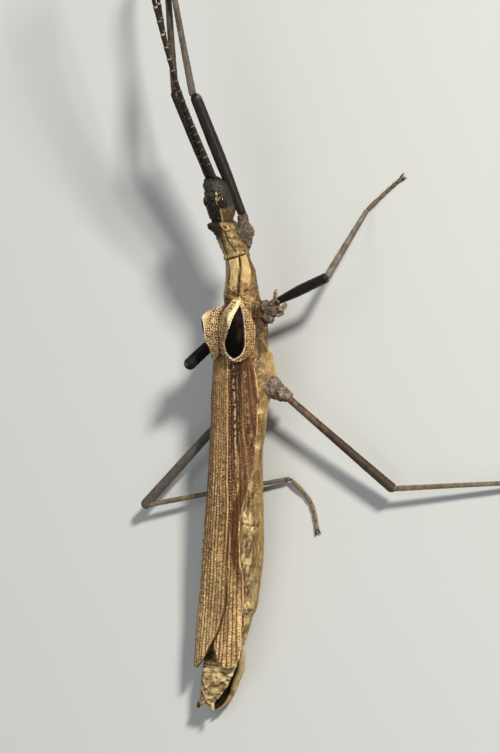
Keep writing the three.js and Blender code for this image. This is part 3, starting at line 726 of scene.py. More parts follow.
# %% Marks of the second thorax plate
def mesothorax_marks():
    """Cream bands between dark lines, a brown flank, rusty blotches and a yellow wart."""
    here = ease(-0.03, 0.07, STATION - pronotum_end())
    here = here * (1 - ease(MESOTHORAX_END + 2.1, MESOTHORAX_END + 2.3, STATION))
    ragged = 0.25 + 1.3 * drawn_noise(PLAIN_BODY, 0.3, 0.5, 12)
    wobble = 7 * (drawn_noise(PLAIN_BODY, 0.6, 0.9, 13) - 0.5)
    midline = hump(TURN + wobble, glide([[9.8, 97], [13, 101], [17, 100]], STATION), 3.0)
    side_at = glide([[9.8, 40], [11.2, 51], [12.3, 59], [14, 66], [17, 70]], STATION)
    low_at = glide([[9.8, -5], [11.2, 2], [12.7, 14], [14, 20], [17, 20]], STATION)
    around = (TURN + 90) % 360 - 90 + wobble
    side_line = hump(around, side_at, 4.4)
    low_line = hump(around, low_at - 3, 4.5)
    # The dark line at 141 degrees, low on the left, is painted shade along the left edge.
    left_line = 0.7 * hump(TURN, 141, 5.0)
    bright = ease(-4, 4, around - low_at) * (1 - ease(-9, -3, around - side_at))
    middle = ease(3, 10, around - side_at) * (1 - ease(90, 96, around))
    left = band(TURN, 104, 134, 6)
    flank = ease(-60, -48, around) * (1 - ease(-8, 0, around - low_at))
    low = band(TURN, 185, 325, 8)
    near_hind = ease(12.2, 14.2, STATION + 1.2 * (lumps - 0.5))
    blotch = strongest(0.7 * spot(13.9, 76, 0.6, 1.4), 0.8 * spot(14.6, 100, 0.55, 1.3),
                       1.0 * spot(13.5, 38, 0.85, 1.2), 1.0 * spot(14.1, 14, 0.8, 1.3),
                       0.9 * spot(15.2, 54, 0.7, 1.2), 0.8 * spot(13.0, 4, 0.5, 1.8))
    blotch = blotch * ease(0.28, 0.55, fine_lumps * 0.5 + lumps * 0.5)
    wart = spot(14.6, 22, 0.46, 1.1)
    # The hole is rusty brown, and its darkness is painted shade in the hollow.
    hole = strongest(spot(16.9, 15, 0.42, 1.9), spot(17.2, 4, 0.7, 1.3))
    tubercle = grains(PLAIN_BODY, 0.42, 0.5, 0.65, 15)
    bulge = spot(13.2, 30, 1.0, 1.4) + spot(14.4, 122, 0.9, 1.3)
    height = 0.07 * bright + 0.05 * middle + 0.08 * hump(TURN, 53, 5) + 0.07 * hump(TURN, 101, 7)
    height = height - 0.15 * side_line * ragged - 0.08 * midline - 0.10 * low_line
    height = height + 0.34 * wart - 0.55 * hole + 0.30 * blotch * fine_lumps + 0.16 * bulge
    height = height + (0.05 * small_warts + 0.19 * tubercle) * (0.15 + near_hind) + 0.05 * (lumps - 0.5)
    pale = strongest(0.36 * bright * (0.50 + 0.8 * fibres), 0.94 * middle * (0.5 + 0.7 * fibres),
                     0.62 * left * (0.5 + 0.7 * fibres), 0.30 * flank * (fibres > 0.55))
    pale = pale * (1 - 0.75 * ease(12.5, 13.5, STATION + 0.8 * (lumps - 0.5)) * bright)
    pale = pale * (1 - 0.72 * near_hind * ease(0.38, 0.52, lumps)) * (1 - 0.95 * blotch)
    pale = strongest(pale * (1 - 0.5 * wart), 0.38 * wart, 0.66 * tubercle * near_hind * (lumps > 0.4))
    dark = strongest(0.92 * side_line * ragged, 0.9 * midline * ragged, 0.85 * left_line,
                     0.55 * low_line * ragged, 0.42 * flank * (0.3 + fibres), 0.4 * low)
    smudge = 0.75 * near_hind * ease(0.5, 0.6, fine_lumps) * (FROM_BACK < 100)
    smudge = smudge * (1 - 0.7 * ease(78, 92, TURN))
    dark = strongest(dark, 0.8 * blotch * ease(0.36, 0.54, fine_lumps), 0.6 * flank * (fine_lumps > 0.54),
                     smudge)
    dark = strongest(dark * (1 - 0.8 * wart), 0.6 * hole)
    warm = strongest(0.9 * blotch, 1.0 * hole, 0.5 * flank, 0.25 * wart,
                     0.8 * near_hind * ease(0.4, 0.6, lumps))
    return height * here, pale * here, dark * here, warm * here, 0


mesothorax_layer = tell("second thorax plate", mesothorax_marks())

# %% [markdown]
# Below the wings the flank is golden and streaked, and it swells in front of the hind hip. Its
# marks keep to a stripe whose middle and reach are curves along the body, the same on both sides,
# so the stripe is worked out first and the marks are multiplied by it.

# %% Ground of the flank
def flank_stripe():
    """1 along the middle of each flank, falling off round the section over the stripe's reach."""
    middle_at = glide([[17, 8], [36, 8], [41, 27], [48, 25], [54, 12], [58, 8]], STATION)
    reach_of = glide([[17, 26], [36, 26], [41, 38], [48, 36], [54, 28], [58, 24]], STATION)
    right_side = hump(turn_from(middle_at), 0, reach_of)
    return np.maximum(right_side, hump(turn_from(180 - middle_at), 0, reach_of))


side = flank_stripe()
gold = np.maximum(band(turn_from(0), -60, -20, 8), band(turn_from(180), 20, 60, 8))
streak = drawn_noise(PLAIN_BODY, 0.35, 1.8, 27)


def flank_ground():
    """Height and the pale, dark and warm shares before the joints: speckles, streaks and a few
    single swellings and pits, of each share the strongest."""
    speckle = grains(PLAIN_BODY, 0.24, 0.62, 0.75, 16)
    patch = ease(0.48, 0.62, drawn_noise(PLAIN_BODY, 0.6, 1.1, 17))
    front = 1 - ease(25.5, 28, STATION)
    swollen = twin_spots(24.2, -32, 1.45, 2.0)
    hollow = spot(19.7, -18, 1.5, 1.2)
    # The pit is rusty brown, and its darkness is painted shade in the hollow.
    pit = spot(18.0, 22, 0.55, 2.2)
    diagonal = hump(turn_from(14) + (STATION - 18.5) * 17, 0, 7) * band(STATION, 17.5, 21.5, 0.4)
    by_hip = spot(24.4, -4, 1.5, 1.5) * grains(PLAIN_BODY, 0.5, 0.55, 0.75, 28)
    height = 0.08 * (lumps - 0.5) + 0.22 * by_hip + 0.08 * speckle * (0.4 + side) * (1 - 0.7 * gold)
    height = height + 1.05 * swollen - 0.40 * hollow - 0.5 * pit + 0.07 * front * (fine_lumps - 0.5)
    height = height + 0.30 * diagonal + 0.05 * (fibres - 0.5)
    pale = strongest(0.3 * fibres, 0.8 * speckle * patch * side, 0.72 * speckle * front, 0.7 * by_hip,
                     0.7 * diagonal * (0.5 + 0.8 * lumps), 0.30 * gold * (0.5 + fibres))
    dot_at = glide([[34, 12], [38, 25], [40, 32], [43, 33], [47, 40], [52, 26], [56, 12]], STATION)
    dots = hump(turn_from(dot_at), 0, 4.5) * (noise(PLAIN_BODY, 0.34, 14) > 0.52)
    rough = front * ease(0.42, 0.6, noise(PLAIN_BODY, 0.8, 19))
    dark = strongest(0.35 * (fibres < 0.36) * side, 0.2 * (1 - fibres),
                     0.5 * front * ease(0.54, 0.64, fine_lumps), 0.45 * rough * (1 - speckle),
                     0.7 * ease(0.52, 0.64, streak) * side * ease(0.35, 0.55, fine_lumps),
                     0.65 * pit, 0.8 * dots * ease(34, 38, STATION))
    warm = strongest(0.30 * (1 - side), 0.55 * patch * (1 - speckle) * (1 - gold), 0.45 * front, pit)
    return height, pale, dark, warm


print("share of the skin on a flank: %.2f" % (side > 0.5).mean())

# %% [markdown]
# At each joint of the abdomen the skin is a sunken fold with a pale lobe in front of it. The
# joints' stations, and the lobes' reach and angle, are three rows, and one loop makes them all.

# %% Joints of the flank
def with_joints(height, pale, dark, warm):
    """The flank's height and shares with the joints' folds taken away and their lobes added."""
    for joint, reach, at in zip(JOINTS, LOBE_REACH, LOBE_ANGLE):
        bent = joint + 0.5 * (noise(PLAIN_BODY, 1.0, 18) - 0.5)
        fold = hump(STATION, bent + 0.05, 0.09) * (1 - 0.9 * gold) * side
        lobe = np.clip(twin_spots(joint - 0.3, at, reach, 1.1) * (0.2 + 1.6 * fine_lumps), 0, 1)
        height = height - 0.12 * fold + 0.24 * lobe
        pale = np.maximum(pale, 0.9 * lobe)
        dark = np.maximum(dark * (1 - 0.8 * lobe), 0.7 * fold * lumps)
        warm = warm * (1 - lobe)
    return height, pale, dark, warm


print("joints of the flank:", len(JOINTS))

# %% [markdown]
# Behind the folds lie whitish patches with a crumbly surface, and towards the tail the flank is
# drawn out in columns. Both are thresholds of noise, and the patches that show best are placed
# one by one.

# %% Patches and columns of the flank
def with_patches(height, pale, dark, warm):
    """The flank's height and shares with whitish patches, then columns, then one deep notch."""
    cream = np.maximum(ease(43, 46, STATION), band(STATION, 39.8, 43.0, 0.5)) * side
    cream = cream * ease(0.38, 0.50, drawn_noise(PLAIN_BODY, 0.6, 1.2, 20))
    cream = strongest(cream, *(spot(*whitish) for whitish in CREAM_PATCHES))
    crumb = ease(0.40, 0.56, drawn_noise(PLAIN_BODY, 0.22, 0.34, 31))
    height = height + 0.10 * cream * (crumb - 0.4)
    pale = np.maximum(pale * (1 - 0.5 * cream * (1 - crumb)), cream * (0.40 + 0.62 * crumb))
    dark = np.maximum(dark * (1 - 0.7 * cream * crumb), 0.30 * cream * (1 - crumb))
    warm = np.maximum(warm, 0.8 * ease(0.48, 0.60, streak) * side * (1 - cream))
    column = drawn_noise(PLAIN_BODY, 0.26, 3.0, 29)
    behind = side * ease(39, 42.5, STATION) * (1 - 0.6 * cream)
    pale = np.maximum(pale, 0.85 * behind * ease(0.46, 0.55, column) * (0.6 + 0.5 * fine_lumps))
    warm = np.maximum(warm, behind * ease(0.56, 0.62, 1 - column))
    dark = np.maximum(dark, 0.5 * behind * ease(0.60, 0.68, 1 - column) * (fine_lumps > 0.4))
    notch = hump(STATION, 52.55, 0.13) * side * ease(0.3, 0.5, lumps)
    height = height - 0.12 * notch
    dark = np.maximum(dark, 0.85 * notch)
    return height, pale, dark, warm


def flank_marks():
    """The side below the wings, with a dark belly, faded in behind the thorax and out at the tail."""
    height, pale, dark, warm = with_patches(*with_joints(*flank_ground()))
    here = ease(MESOTHORAX_END + 1.8, MESOTHORAX_END + 2.6, STATION) * (1 - tail_share)
    dark = dark * (1 - 0.8 * gold)
    dark = np.maximum(dark, 0.45 * band(turn_from(270), -50, 50, 14))
    return height * here, pale * here, dark * here, warm * here, 0.10 * here * side


flank_layer = tell("flank", flank_marks())

# %% [markdown]
# The last plates of the tail show behind the wings. Each hind edge is a low ridge with a furrow
# after it, at a station that noise bends, and two kinds of wrinkles lie between.

# %% Marks of the tail
def tail_marks():
    """The last plates: pinkish cream and wrinkled, each hind edge raised, black inside below."""
    crinkle = drawn_noise(PLAIN_BODY, 0.36, 0.17, 21) - 0.5
    fold = drawn_noise(PLAIN_BODY, 0.9, 0.5, 23) - 0.5
    over = 1 - ease(100, 108, FROM_BACK)
    edge = 0
    for number, (at, tall) in enumerate(((60.3, 1.0), (62.0, 0.8), (63.4, 0.9), (64.5, 0.6))):
        bent = at + 1.5 * (drawn_noise(PLAIN_BODY, 0.8, 9.0, 25 + number) - 0.5)
        edge = edge + tall * (hump(STATION, bent, 0.2) - 0.8 * hump(STATION, bent + 0.32, 0.13))
    knob = spot(60.6, 70, 0.55, 1.5) + spot(60.8, 108, 0.5, 1.5) + 0.8 * spot(62.8, 52, 0.5, 1.0)
    fringe = hump(FROM_BACK, 96, 9) * (noise(PLAIN_BODY, 0.45, 24) > 0.45)
    height = (0.08 * edge + 0.09 * crinkle + 0.07 * fold + 0.15 * fringe) * over + 0.16 * knob
    height = height + 0.04 * small_warts * over
    under = 1 - over
    bright = 0.46 + 0.32 * np.clip(edge, 0, 1) + 0.8 * crinkle + 0.5 * fold + 0.25 * fringe + 0.2 * knob
    # Painted shadow on the plates just behind the wings' ends, where the wings overhang them.
    gap = band(STATION, 57.4, 59.3, 0.4) * band(TURN, 92, 142, 8)
    pale = over * bright * (1 - gap)
    # The dark line at 160 degrees is painted shade along the tail's left edge.
    dark = strongest(0.95 * under, 0.85 * gap, over * 0.55 * np.clip(-edge, 0, 1),
                     over * 0.45 * ease(0.16, 0.3, -crinkle), over * 0.25 * ease(0.12, 0.3, -fold),
                     0.8 * hump(TURN, 160, 7))
    warm = over * strongest(1.0 * ease(0.20, 0.55, lumps), 0.8 * (fold < 0))
    return height * tail_share, pale * tail_share, dark * tail_share, warm * tail_share, 0


tail_layer = tell("tail", tail_marks())

# %% [markdown]
# The regions could be separate objects, but their seams would show. Instead they are layers on
# one skin: heights add up, and of each paint share the strongest layer shows.

# %% The body's skin
def make_body(layers):
    """The plain form lifted by the sum of the heights, with the largest of each paint share."""
    height = sum(layer[0] for layer in layers)
    pale, dark, warm, grey = (strongest(*(layer[i] for layer in layers)) for i in (1, 2, 3, 4))
    nodes = [name for name in frame["nodes"] if name.startswith(("abdomen", "head"))]
    nodes += ["prothorax", "mesothorax", "metathorax"]
    body = skin(PLAIN_BODY, height, pale, dark, warm, grey)
    build("body_skin", [body], BODY_FINISH, nodes)


make_body([head_layer, pronotum_layer, mesothorax_layer, flank_layer, tail_layer])

# %% [markdown]
# The eyes are glossy domes, dark brown with cream slanting bars. An eye is an egg whose bars are
# painted by a wave across its own slanting direction; gloss comes from a coat on the shader.

# %% An egg of rings
def egg(centre, half_sizes, along, rings=48, sides=64):
    """An egg: sine and cosine of latitude and longitude about `along`, times three half sizes."""
    along = along / np.linalg.norm(along)
    side = np.cross([0.3, 0.9, 0.1], along)
    side /= np.linalg.norm(side)
    other = np.cross(along, side)
    latitude = np.linspace(0.02, np.pi - 0.02, rings)[:, None]
    longitude = np.linspace(0, 2 * np.pi, sides, endpoint=False)[None, :]
    a = np.sin(latitude) * np.cos(longitude) * half_sizes[0]
    b = np.sin(latitude) * np.sin(longitude) * half_sizes[1]
    c = np.cos(latitude) * half_sizes[2] + 0 * longitude
    return centre + a[..., None] * side + b[..., None] * other + c[..., None] * along


print("points of an egg:", egg(np.zeros(3), np.ones(3), UP).shape[:2])

# %% [markdown]
# A real eye is a wet-looking dome of tiny lenses. A low roughness could make it shine, but a
# clear coat over the same pattern keeps the skin's own dull shine beneath it.

# %% Finish of the eyes
def eye_finish():
    """The cuticle pattern under a clear, smooth coat."""
    material = finish_of("eye_gloss", (0.010, 0.005, 0.003), (0.66, 0.52, 0.30), (0.008, 0.004, 0.003),
                         (0.075, 0.030, 0.010), ASH, grain=9000, mottle=0.5, relief_shade=0, bump=0.05)
    shader = material.node_tree.nodes["Principled BSDF"]
    shader.inputs["Coat Weight"].default_value = 0.45
    shader.inputs["Specular IOR Level"].default_value = 0.1
    shader.inputs["Coat Roughness"].default_value = 0.05
    return material


EYE_FINISH = eye_finish()
print("finish:", EYE_FINISH.name)

# %% [markdown]
# Each eye sits in its socket on the side of the head. Its bars are worked out in the eye's own
# directions: headward, up and outward, so they slant alike on both. The left eye's are faint.

# %% Eyes
EYE_OUT = 1.12
EYE_UP = 0.76
EYE_SIZE = np.array([0.60, 0.86, 0.62])
BAR_SPACING = 0.27


def make_eye(name, side):
    """An egg at the eye's station, out and up from the head's middle. Its bars are the crests of
    a cosine along a slanting direction, above a ragged lower border."""
    right, up = (float(v) for v in row_at(BODY_ROWS, np.array(EYE_STATION))[:2])
    centre = place(EYE_STATION, right + side * EYE_OUT, up + EYE_UP)
    at = egg(centre, EYE_SIZE[[0, 2, 1]], HEADWARD)
    offset = at - centre
    headward, upward = offset @ HEADWARD, offset @ UP
    outward = offset @ RIGHT * side
    slant = headward * 0.55 + upward * 0.8 - outward * 0.45
    wave = np.cos((slant + 0.35 * (noise(at, 0.4, 95) - 0.5)) * 2 * np.pi / BAR_SPACING)
    bars = ease(0.45, 0.85, wave) * ease(0.34, 0.50, slant + 0.3 * (noise(at, 0.35, 96) - 0.5))
    bars = bars * (0.60 if side > 0 else 0.12)
    build(name, [skin(at, pale=bars, warm=0.04 * (1 - bars))], EYE_FINISH, [name])


make_eye("eye_right", 1)
make_eye("eye_left", -1)

# %% [markdown]
# The hind wings are folded flat over the abdomen, the left over the right. They are thin shells
# with raised long veins and cross veins between them, like bark. The veins are lanes: a lane
# number is the distance from the left edge over the lane's width, which grows towards the tail.

# %% The folded wings' measures
WING_START, WING_END = 21.6, 60.3
WING_ROWS = np.array([
    [WING_START, 0.00, 0.00, 3.15, 1.90, 2.5, 2.8],
    [27.0, 0.00, 0.00, 3.20, 1.88, 2.5, 2.8],
    [30.0, 0.22, 0.00, 3.22, 1.85, 2.5, 2.8],
    [33.0, 0.10, 0.00, 3.05, 1.83, 2.6, 2.9],
    [40.0, 0.38, 0.00, 3.42, 1.83, 2.6, 2.9],
    [46.0, 0.50, 0.00, 3.74, 1.88, 2.6, 2.9],
    [50.4, 0.46, 0.02, 3.66, 1.84, 2.4, 2.9],
    [53.2, 0.15, 0.05, 3.55, 1.80, 2.2, 2.8],
    [57.0, -0.15, 0.20, 3.30, 1.75, 1.8, 2.7],
    [WING_END, -0.20, 0.30, 3.15, 1.70, 1.5, 2.6],
])
RIGHT_WING_END = 59.75
# where the left wing's inner edge lies to the right of the middle
LEFT_INNER = [[WING_START, 1.9], [23.2, 2.0], [30.5, 2.46], [34.1, 2.24], [36.5, 2.25], [38.8, 2.0],
              [41.3, 1.75], [43.2, 1.59], [45.5, 1.49], [47.8, 1.5], [51.1, 1.68], [52.1, 1.6],
              [53.5, 1.26], [54.5, 1.02], [55.6, 0.65], [56.6, 0.12], [57.6, -0.5], [58.7, -1.1],
              [59.6, -1.85], [WING_END, -2.7]]
RIGHT_INNER = [[WING_START, -0.6], [45, -0.4], [52, -0.3], [56, 0.0], [57.3, 0.25], [58.1, 0.55], [58.8, 1.0],
               [59.3, 1.45], [59.6, 1.85], [RIGHT_WING_END, 2.2]]
# angle above the right side at which a wing's outer edge lies
RIGHT_OUTER = [[WING_START, 20], [22.1, 28], [24, 19], [26.7, 9], [29.2, 11], [31.5, 11], [34.5, 8],
               [36.0, 16], [37.3, 29], [38.3, 36], [39.8, 48], [41.4, 54], [42.8, 56], [45.9, 54],
               [47.2, 49], [47.9, 43], [49.9, 38], [51.5, 33], [53.2, 29], [55.0, 24], [56.7, 15],
               [58.2, 15], [59.0, 22], [59.5, 36], [RIGHT_WING_END, 50]]
LEFT_OUTER = [[WING_START, 20], [28, 12], [35, 8], [42, 10], [53, 12], [57, 14], [59.4, 16],
              [WING_END, 30]]


def angle_across(station, right, grow):
    """The angle at which the section reaches `right`, by turning the superellipse formula round."""
    measures = row_at(WING_ROWS, station)
    centre, half_width, square = measures[0], measures[2], measures[5]
    share = np.clip((right - centre) / (half_width + grow), -0.995, 0.995)
    return np.arccos(np.sign(share) * np.abs(share) ** (square / 2))


print("the left wing is %.1f mm long" % (WING_END - WING_START))

# %% [markdown]
# The net of veins: ribs run along the wing on whole lane numbers, rungs cross them like a ladder,
# and small beads roughen both. Each lane has its own tone and its own shift of the rungs, so the
# rows don't line up.

# %% The net of veins
LEFT_EDGE = -3.4
LANE_WIDTH = [[WING_START, 0.455], [36.75, 0.62], [41.6, 0.67], [WING_END, 0.69]]
RUNG_SPACING = 0.34
FINE_LANES = 1.3


def lane_of(station, right):
    """Lane number: distance from the left edge over a lane width that grows towards the tail."""
    return (right - LEFT_EDGE) / glide(LANE_WIDTH, station)


def wing_pattern(station, right, at, seed):
    """Heights and paint of the net: beaded ribs on whole lanes with dark furrows between them."""
    lane = lane_of(station, right) + 0.30 * (drawn_noise(at, 0.6, 3.0, seed) - 0.5)
    fine = lane * FINE_LANES
    number = np.floor(fine + 0.5)
    tone = noise(np.stack([number * 3.1, station * 0.22 + 0 * number, 0 * number], -1), 1.0, seed + 5)
    furrow = hump(fine % 1, 0.5, 0.17)
    ladder = station / RUNG_SPACING + 0.37 * number + 1.6 * (noise(at, 0.5, seed + 1) - 0.5)
    rung_cell = np.stack([np.floor(ladder + 0.5), number, 0 * number], -1).astype(np.int64)
    kept = numbers_at(rung_cell, seed)[..., 0]
    rung = ease(-0.3, 0.6, np.cos(2 * np.pi * ladder)) * (0.6 + 0.4 * kept)
    bead = drawn_noise(at, 0.2, 0.28, seed + 2)
    net = (1 - 0.9 * furrow) * (0.52 + 0.48 * rung) * (0.45 + 0.9 * bead) * (0.6 + 0.75 * tone)
    height = 0.07 * net + 0.03 * (bead - 0.5)
    return lane, net, kept, height


print("lanes from edge to edge: %.1f" % lane_of(np.array([40.0]), 3.4)[0])

# %% [markdown]
# The left wing lies on top. In front it has yellow cross-hatching. One cream vein has a row of
# pits beside it, and a dark ladder lies between them and the inner edge. All fade tailward.

# %% Marks of the left wing
PIT_SPACING = 0.42
HATCH_SPACING = 0.27


def left_wing_marks(lane, net, station, at, edge, warm):
    """Yellow cross-hatching in front, one cream vein with a row of pits, a dark ladder beside it."""
    dawn = 1 - ease(31, 38, station)
    dusk = 1 - ease(41, 47, station)
    cream_vein = hump(lane, 7.05, 0.20) * dusk
    pits = hump(lane, 7.52, 0.22) * dusk * (0.3 + 0.7 * (np.sin(station * 2 * np.pi / PIT_SPACING) > -0.3))
    ladder_side = ease(7.75, 8.1, lane) * dusk
    yellow = (1 - ease(6.2, 6.7, lane)) * dawn
    bent_lane = lane + 0.5 * (drawn_noise(at, 0.6, 1.2, 60) - 0.5)
    row = strongest(hump(bent_lane, 9.15, 0.34), 0.5 * hump(bent_lane, 10.2, 0.18),
                    0.35 * hump(bent_lane, 8.3, 0.14))
    beads = row * ease(0.38, 0.50, noise(at, 0.22, 59))
    hatch = np.cos(2 * np.pi * (station / HATCH_SPACING + lane * 1.9 + 1.6 * (noise(at, 0.5, 69) - 0.5)))
    net = net + (0.52 + 0.40 * hatch - net) * yellow * 0.8
    ladder = ladder_side * strongest(beads, 0.6 * (net > 0.62) * (1 - 0.7 * dawn))
    pale = strongest(net * (0.85 + 0.15 * yellow) * (1 - 0.8 * ladder_side), 1.0 * cream_vein,
                     (0.5 + 0.4 * ease(50, 56, station)) * edge * ease(24, 27, station),
                     (0.30 + 0.45 * dawn) * ladder)
    # Painted shade on the left lanes, on the side turned from the lamps, fading towards the tail.
    far_side_shade = (0.5 - 0.3 * ease(36, 46, station)) * (1 - ease(0.8, 2.4, lane))
    dark = strongest(0.95 * pits, ladder_side * (0.58 + 0.40 * dawn) * (1 - ladder), far_side_shade,
                     0.55 * yellow * ease(0.1, 0.6, -hatch))
    grey = ladder * dawn * 0.5
    height = 0.08 * cream_vein - 0.12 * pits + 0.05 * ladder
    yellowed = 0.7 * ease(1.5, 3.0, lane) * (1 - ease(6.2, 6.8, lane)) * (1 - ease(31, 38, station))
    # Painted shade also dims the pale on the left lanes in front.
    pale = pale * (1 - 0.30 * (1 - ease(2.0, 4.0, lane)) * (1 - ease(38, 46, station)))
    pale = pale * (0.94 + 0.50 * ease(38, 52, station))
    return height, pale, dark, warm * (1 - yellowed), grey


print("hatch marks a millimetre on the left wing: %.1f" % (1 / HATCH_SPACING))

# %% [markdown]
# Only the outer part of the right wing shows. A rusty band follows its pale outer edge, with a
# brown strip and two lines of pale grains further in.

# %% Marks of the right wing
RUST_WIDTH = [[22, 2.15], [30, 2.0], [38, 1.45], [46, 1.0], [56, 0.8]]


def right_wing_marks(lane, net, station, at, right, inward, warm):
    """A rusty band that follows the pale outer edge and fades towards the tail, and a shadow
    along the left wing's edge, where this wing goes under it."""
    under_left = hump(right, glide(LEFT_INNER, station) + 0.10, 0.13) * ease(46, 51, station) * 0.9
    costa = hump(inward, 0.12, 0.12)
    patchy = 0.80 + 0.35 * drawn_noise(at, 0.5, 2.5, 58)
    width = glide(RUST_WIDTH, station)
    rust = ease(0.15, 0.3, inward) * (1 - ease(0, 0.35, inward - width))
    rust = rust * (1 - ease(47, 54, station)) * patchy
    dawn = 1 - ease(36, 42, station)
    sandy_line = hump(lane, 12.0, 0.28) * (noise(at, 0.3, 56) > 0.5)
    grain_line = strongest(0.8 * hump(lane, 11.1, 0.16), sandy_line) * dawn
    brown = band(lane, 9.5, 12.6, 0.2) * dawn * (1 - grain_line)
    pale = net * (0.85 - 0.84 * rust) * (1 - 0.6 * brown)
    pale = strongest(pale, 1.1 * costa * drawn_noise(at, 0.5, 1.2, 57), 0.75 * grain_line)
    dark = strongest((0.20 + 0.30 * (net < 0.35)) * rust, 0.55 * brown * (1 - rust), under_left)
    return 0.05 * costa, pale * (1 - under_left), dark, np.maximum(warm, rust), 0


print("the rusty band is %.1f mm wide at its widest" % max(width for _, width in RUST_WIDTH))

# %% [markdown]
# A wing is a thin sheet. A Solidify modifier could thicken it, but here its outer face, and its
# inner face run back the other way, make closed rings, so that each face has its own paint.

# %% Thin sheets
def beside(values, fill, columns):
    """A sheet's values with as many columns of one value as its inner face has."""
    return np.concatenate([values, np.full((len(values), columns), fill)], axis=1)


def sheet_skin(outer_face, inner_face, pale, dark, warm, grey):
    """The skin of a thin sheet: its painted outer face and a plain inner face."""
    columns = inner_face.shape[1]
    shape = outer_face.shape[:2]
    fills = ((pale, 0.1), (dark, 0.4), (warm, 0.2), (grey, 0.0))
    shares = [beside(np.broadcast_to(values, shape), fill, columns) for values, fill in fills]
    return skin(np.concatenate([outer_face, inner_face], axis=1), 0, *shares)


def lift_sheet(at, height):
    """Moves an open sheet's points along its normal, away from the body's axis."""
    normal = np.cross(np.gradient(at, axis=1), np.gradient(at, axis=0))
    away = at - at.mean(axis=1, keepdims=True) + 2 * UP
    normal *= np.sign(np.sum(normal * away))
    length = np.linalg.norm(normal, axis=-1, keepdims=True)
    return at + normal / np.maximum(length, 1e-9) * height[..., None]


print("a sheet's rings go out over one face and back over the other")

# %% [markdown]
# A hind wing is the part of a tube just outside the body that lies between an inner and an outer
# edge, two curves along the body. Its shell is as thick as the two faces are apart.

# %% Hind wings
WING_LIFT = 0.5
WING_THICKNESS = 0.22
WING_REACH = 3.2


def make_wing(name, inner, outer, over, side, end=WING_END):
    """A shell between two edges: the outer face with its net, then the inner face back again.
    The steps across are even in angle, and an angle times WING_REACH is its length in mm."""
    rings, top, bottom = 640, 124, 12
    station = np.linspace(WING_START, end, rings)[:, None]
    grow = WING_LIFT + over
    first = angle_across(station, glide(inner, station), grow)
    last = np.radians(glide(outer, station))
    last = last if side > 0 else np.pi - last
    share = np.linspace(0, 1, top)[None, :]
    angle = first + (last - first) * share
    right, up = outline(WING_ROWS, station, angle, grow)
    at = place(station, right, up)
    seed = 30 if side > 0 else 40
    lane, net, kept, height = wing_pattern(station, right, at, seed)
    across = share * np.abs(last - first) * WING_REACH
    edge = hump(across, 0.05, 0.09)
    wave = drawn_noise(at, 1.6, 5.0, 55) - 0.5
    dusk = ease(42, 52, station)
    dark = 0.80 * (1 - ease(0.06, 0.36, net)) * (0.55 + 0.6 * kept) * (1 - 0.38 * dusk)
    warm = 0.34 + 0.5 * ease(-0.02, 0.15, wave) * ease(26, 38, station) + 0.25 * dusk
    if side < 0:
        extra, pale, own_dark, warm, grey = left_wing_marks(lane, net, station, at, edge, warm)
    else:
        inward = np.abs(last - first) * WING_REACH - across
        extra, pale, own_dark, warm, grey = right_wing_marks(lane, net, station, at, right, inward, warm)
    pale = pale * (1.0 + 0.7 * wave) * (1 + 0.22 * ease(42, 54, station)) + 0.08 * ease(40, 56, station)
    pale = np.clip(pale, 0, 1)
    dark = strongest(dark, own_dark, 0.8 * hump(across, 0, 0.03))
    height = height + extra
    outer_face = lift_sheet(at, height)
    inner_angle = first + (last - first) * np.linspace(1, 0, bottom)[None, :]
    inner_right, inner_up = outline(WING_ROWS, station, inner_angle, grow - WING_THICKNESS)
    inner_face = place(station, inner_right, inner_up)
    part = sheet_skin(outer_face, inner_face, pale, dark, warm, grey)
    part["relief"] = beside(np.clip(0.25 + height / 0.11, 0, 1), 0.4, bottom)
    build(name, [part], WING_FINISH, [name])


make_wing("wing_right", RIGHT_INNER, RIGHT_OUTER, -0.12, 1, end=RIGHT_WING_END)
make_wing("wing_left", LEFT_INNER, LEFT_OUTER, 0.12, -1)

# %% [markdown]
# The fore wings are short pads, each thrown up in a hump. Their surface is a net of raised pale
# threads over brown cells, and on the outer slope of each hump lies a bare, shining black drop
# with a white rim. The drop is drawn by two border curves across the pad.

# %% The fore wings' measures
TEGMEN_START, TEGMEN_END = 14.6, 22.2
# station, height at the middle, right and up of the crest, right and up of the outer edge
TEGMEN_ROWS = np.array([
    [TEGMEN_START, 3.00, 1.00, 3.10, 2.45, 2.30],
    [15.5, 3.65, 1.80, 4.40, 2.75, 1.85],
    [16.9, 4.20, 2.35, 5.30, 3.00, 1.50],
    [18.3, 4.25, 2.25, 5.05, 3.18, 1.35],
    [19.8, 4.05, 2.10, 4.45, 3.22, 1.30],
    [21.0, 3.70, 2.00, 3.80, 3.20, 1.35],
    [TEGMEN_END, 3.05, 1.85, 3.10, 3.10, 1.85],
])
DROP_INNER = [[15.2, 0.60], [15.9, 0.54], [16.7, 0.48], [18.2, 0.40], [19.3, 0.27], [20.2, 0.18],
              [21.0, 0.20], [21.5, 0.28], [21.85, 0.42]]
DROP_OUTER = [[15.2, 0.60], [15.8, 0.65], [16.5, 0.69], [17.9, 0.71], [19.8, 0.715], [20.8, 0.66],
              [21.4, 0.57], [21.85, 0.42]]
LEFT_DROP_INNER = [[16.8, 0.46], [17.3, 0.375], [18.3, 0.345], [19.3, 0.36], [20.2, 0.46]]
LEFT_DROP_OUTER = [[16.8, 0.46], [17.3, 0.56], [18.5, 0.64], [19.6, 0.58], [20.2, 0.46]]
FOLD = 0.4
PAD_WIDTH = 6.4
PAD_THICKNESS = 0.32
print("rows of the pads' table:", len(TEGMEN_ROWS))

# %% [markdown]
# A pad's section is two strokes: up from the middle to the crest, then bulging down to the outer
# edge. Its front and rear edges are curves too, so a step along the pad is turned into a station
# between those two curves.

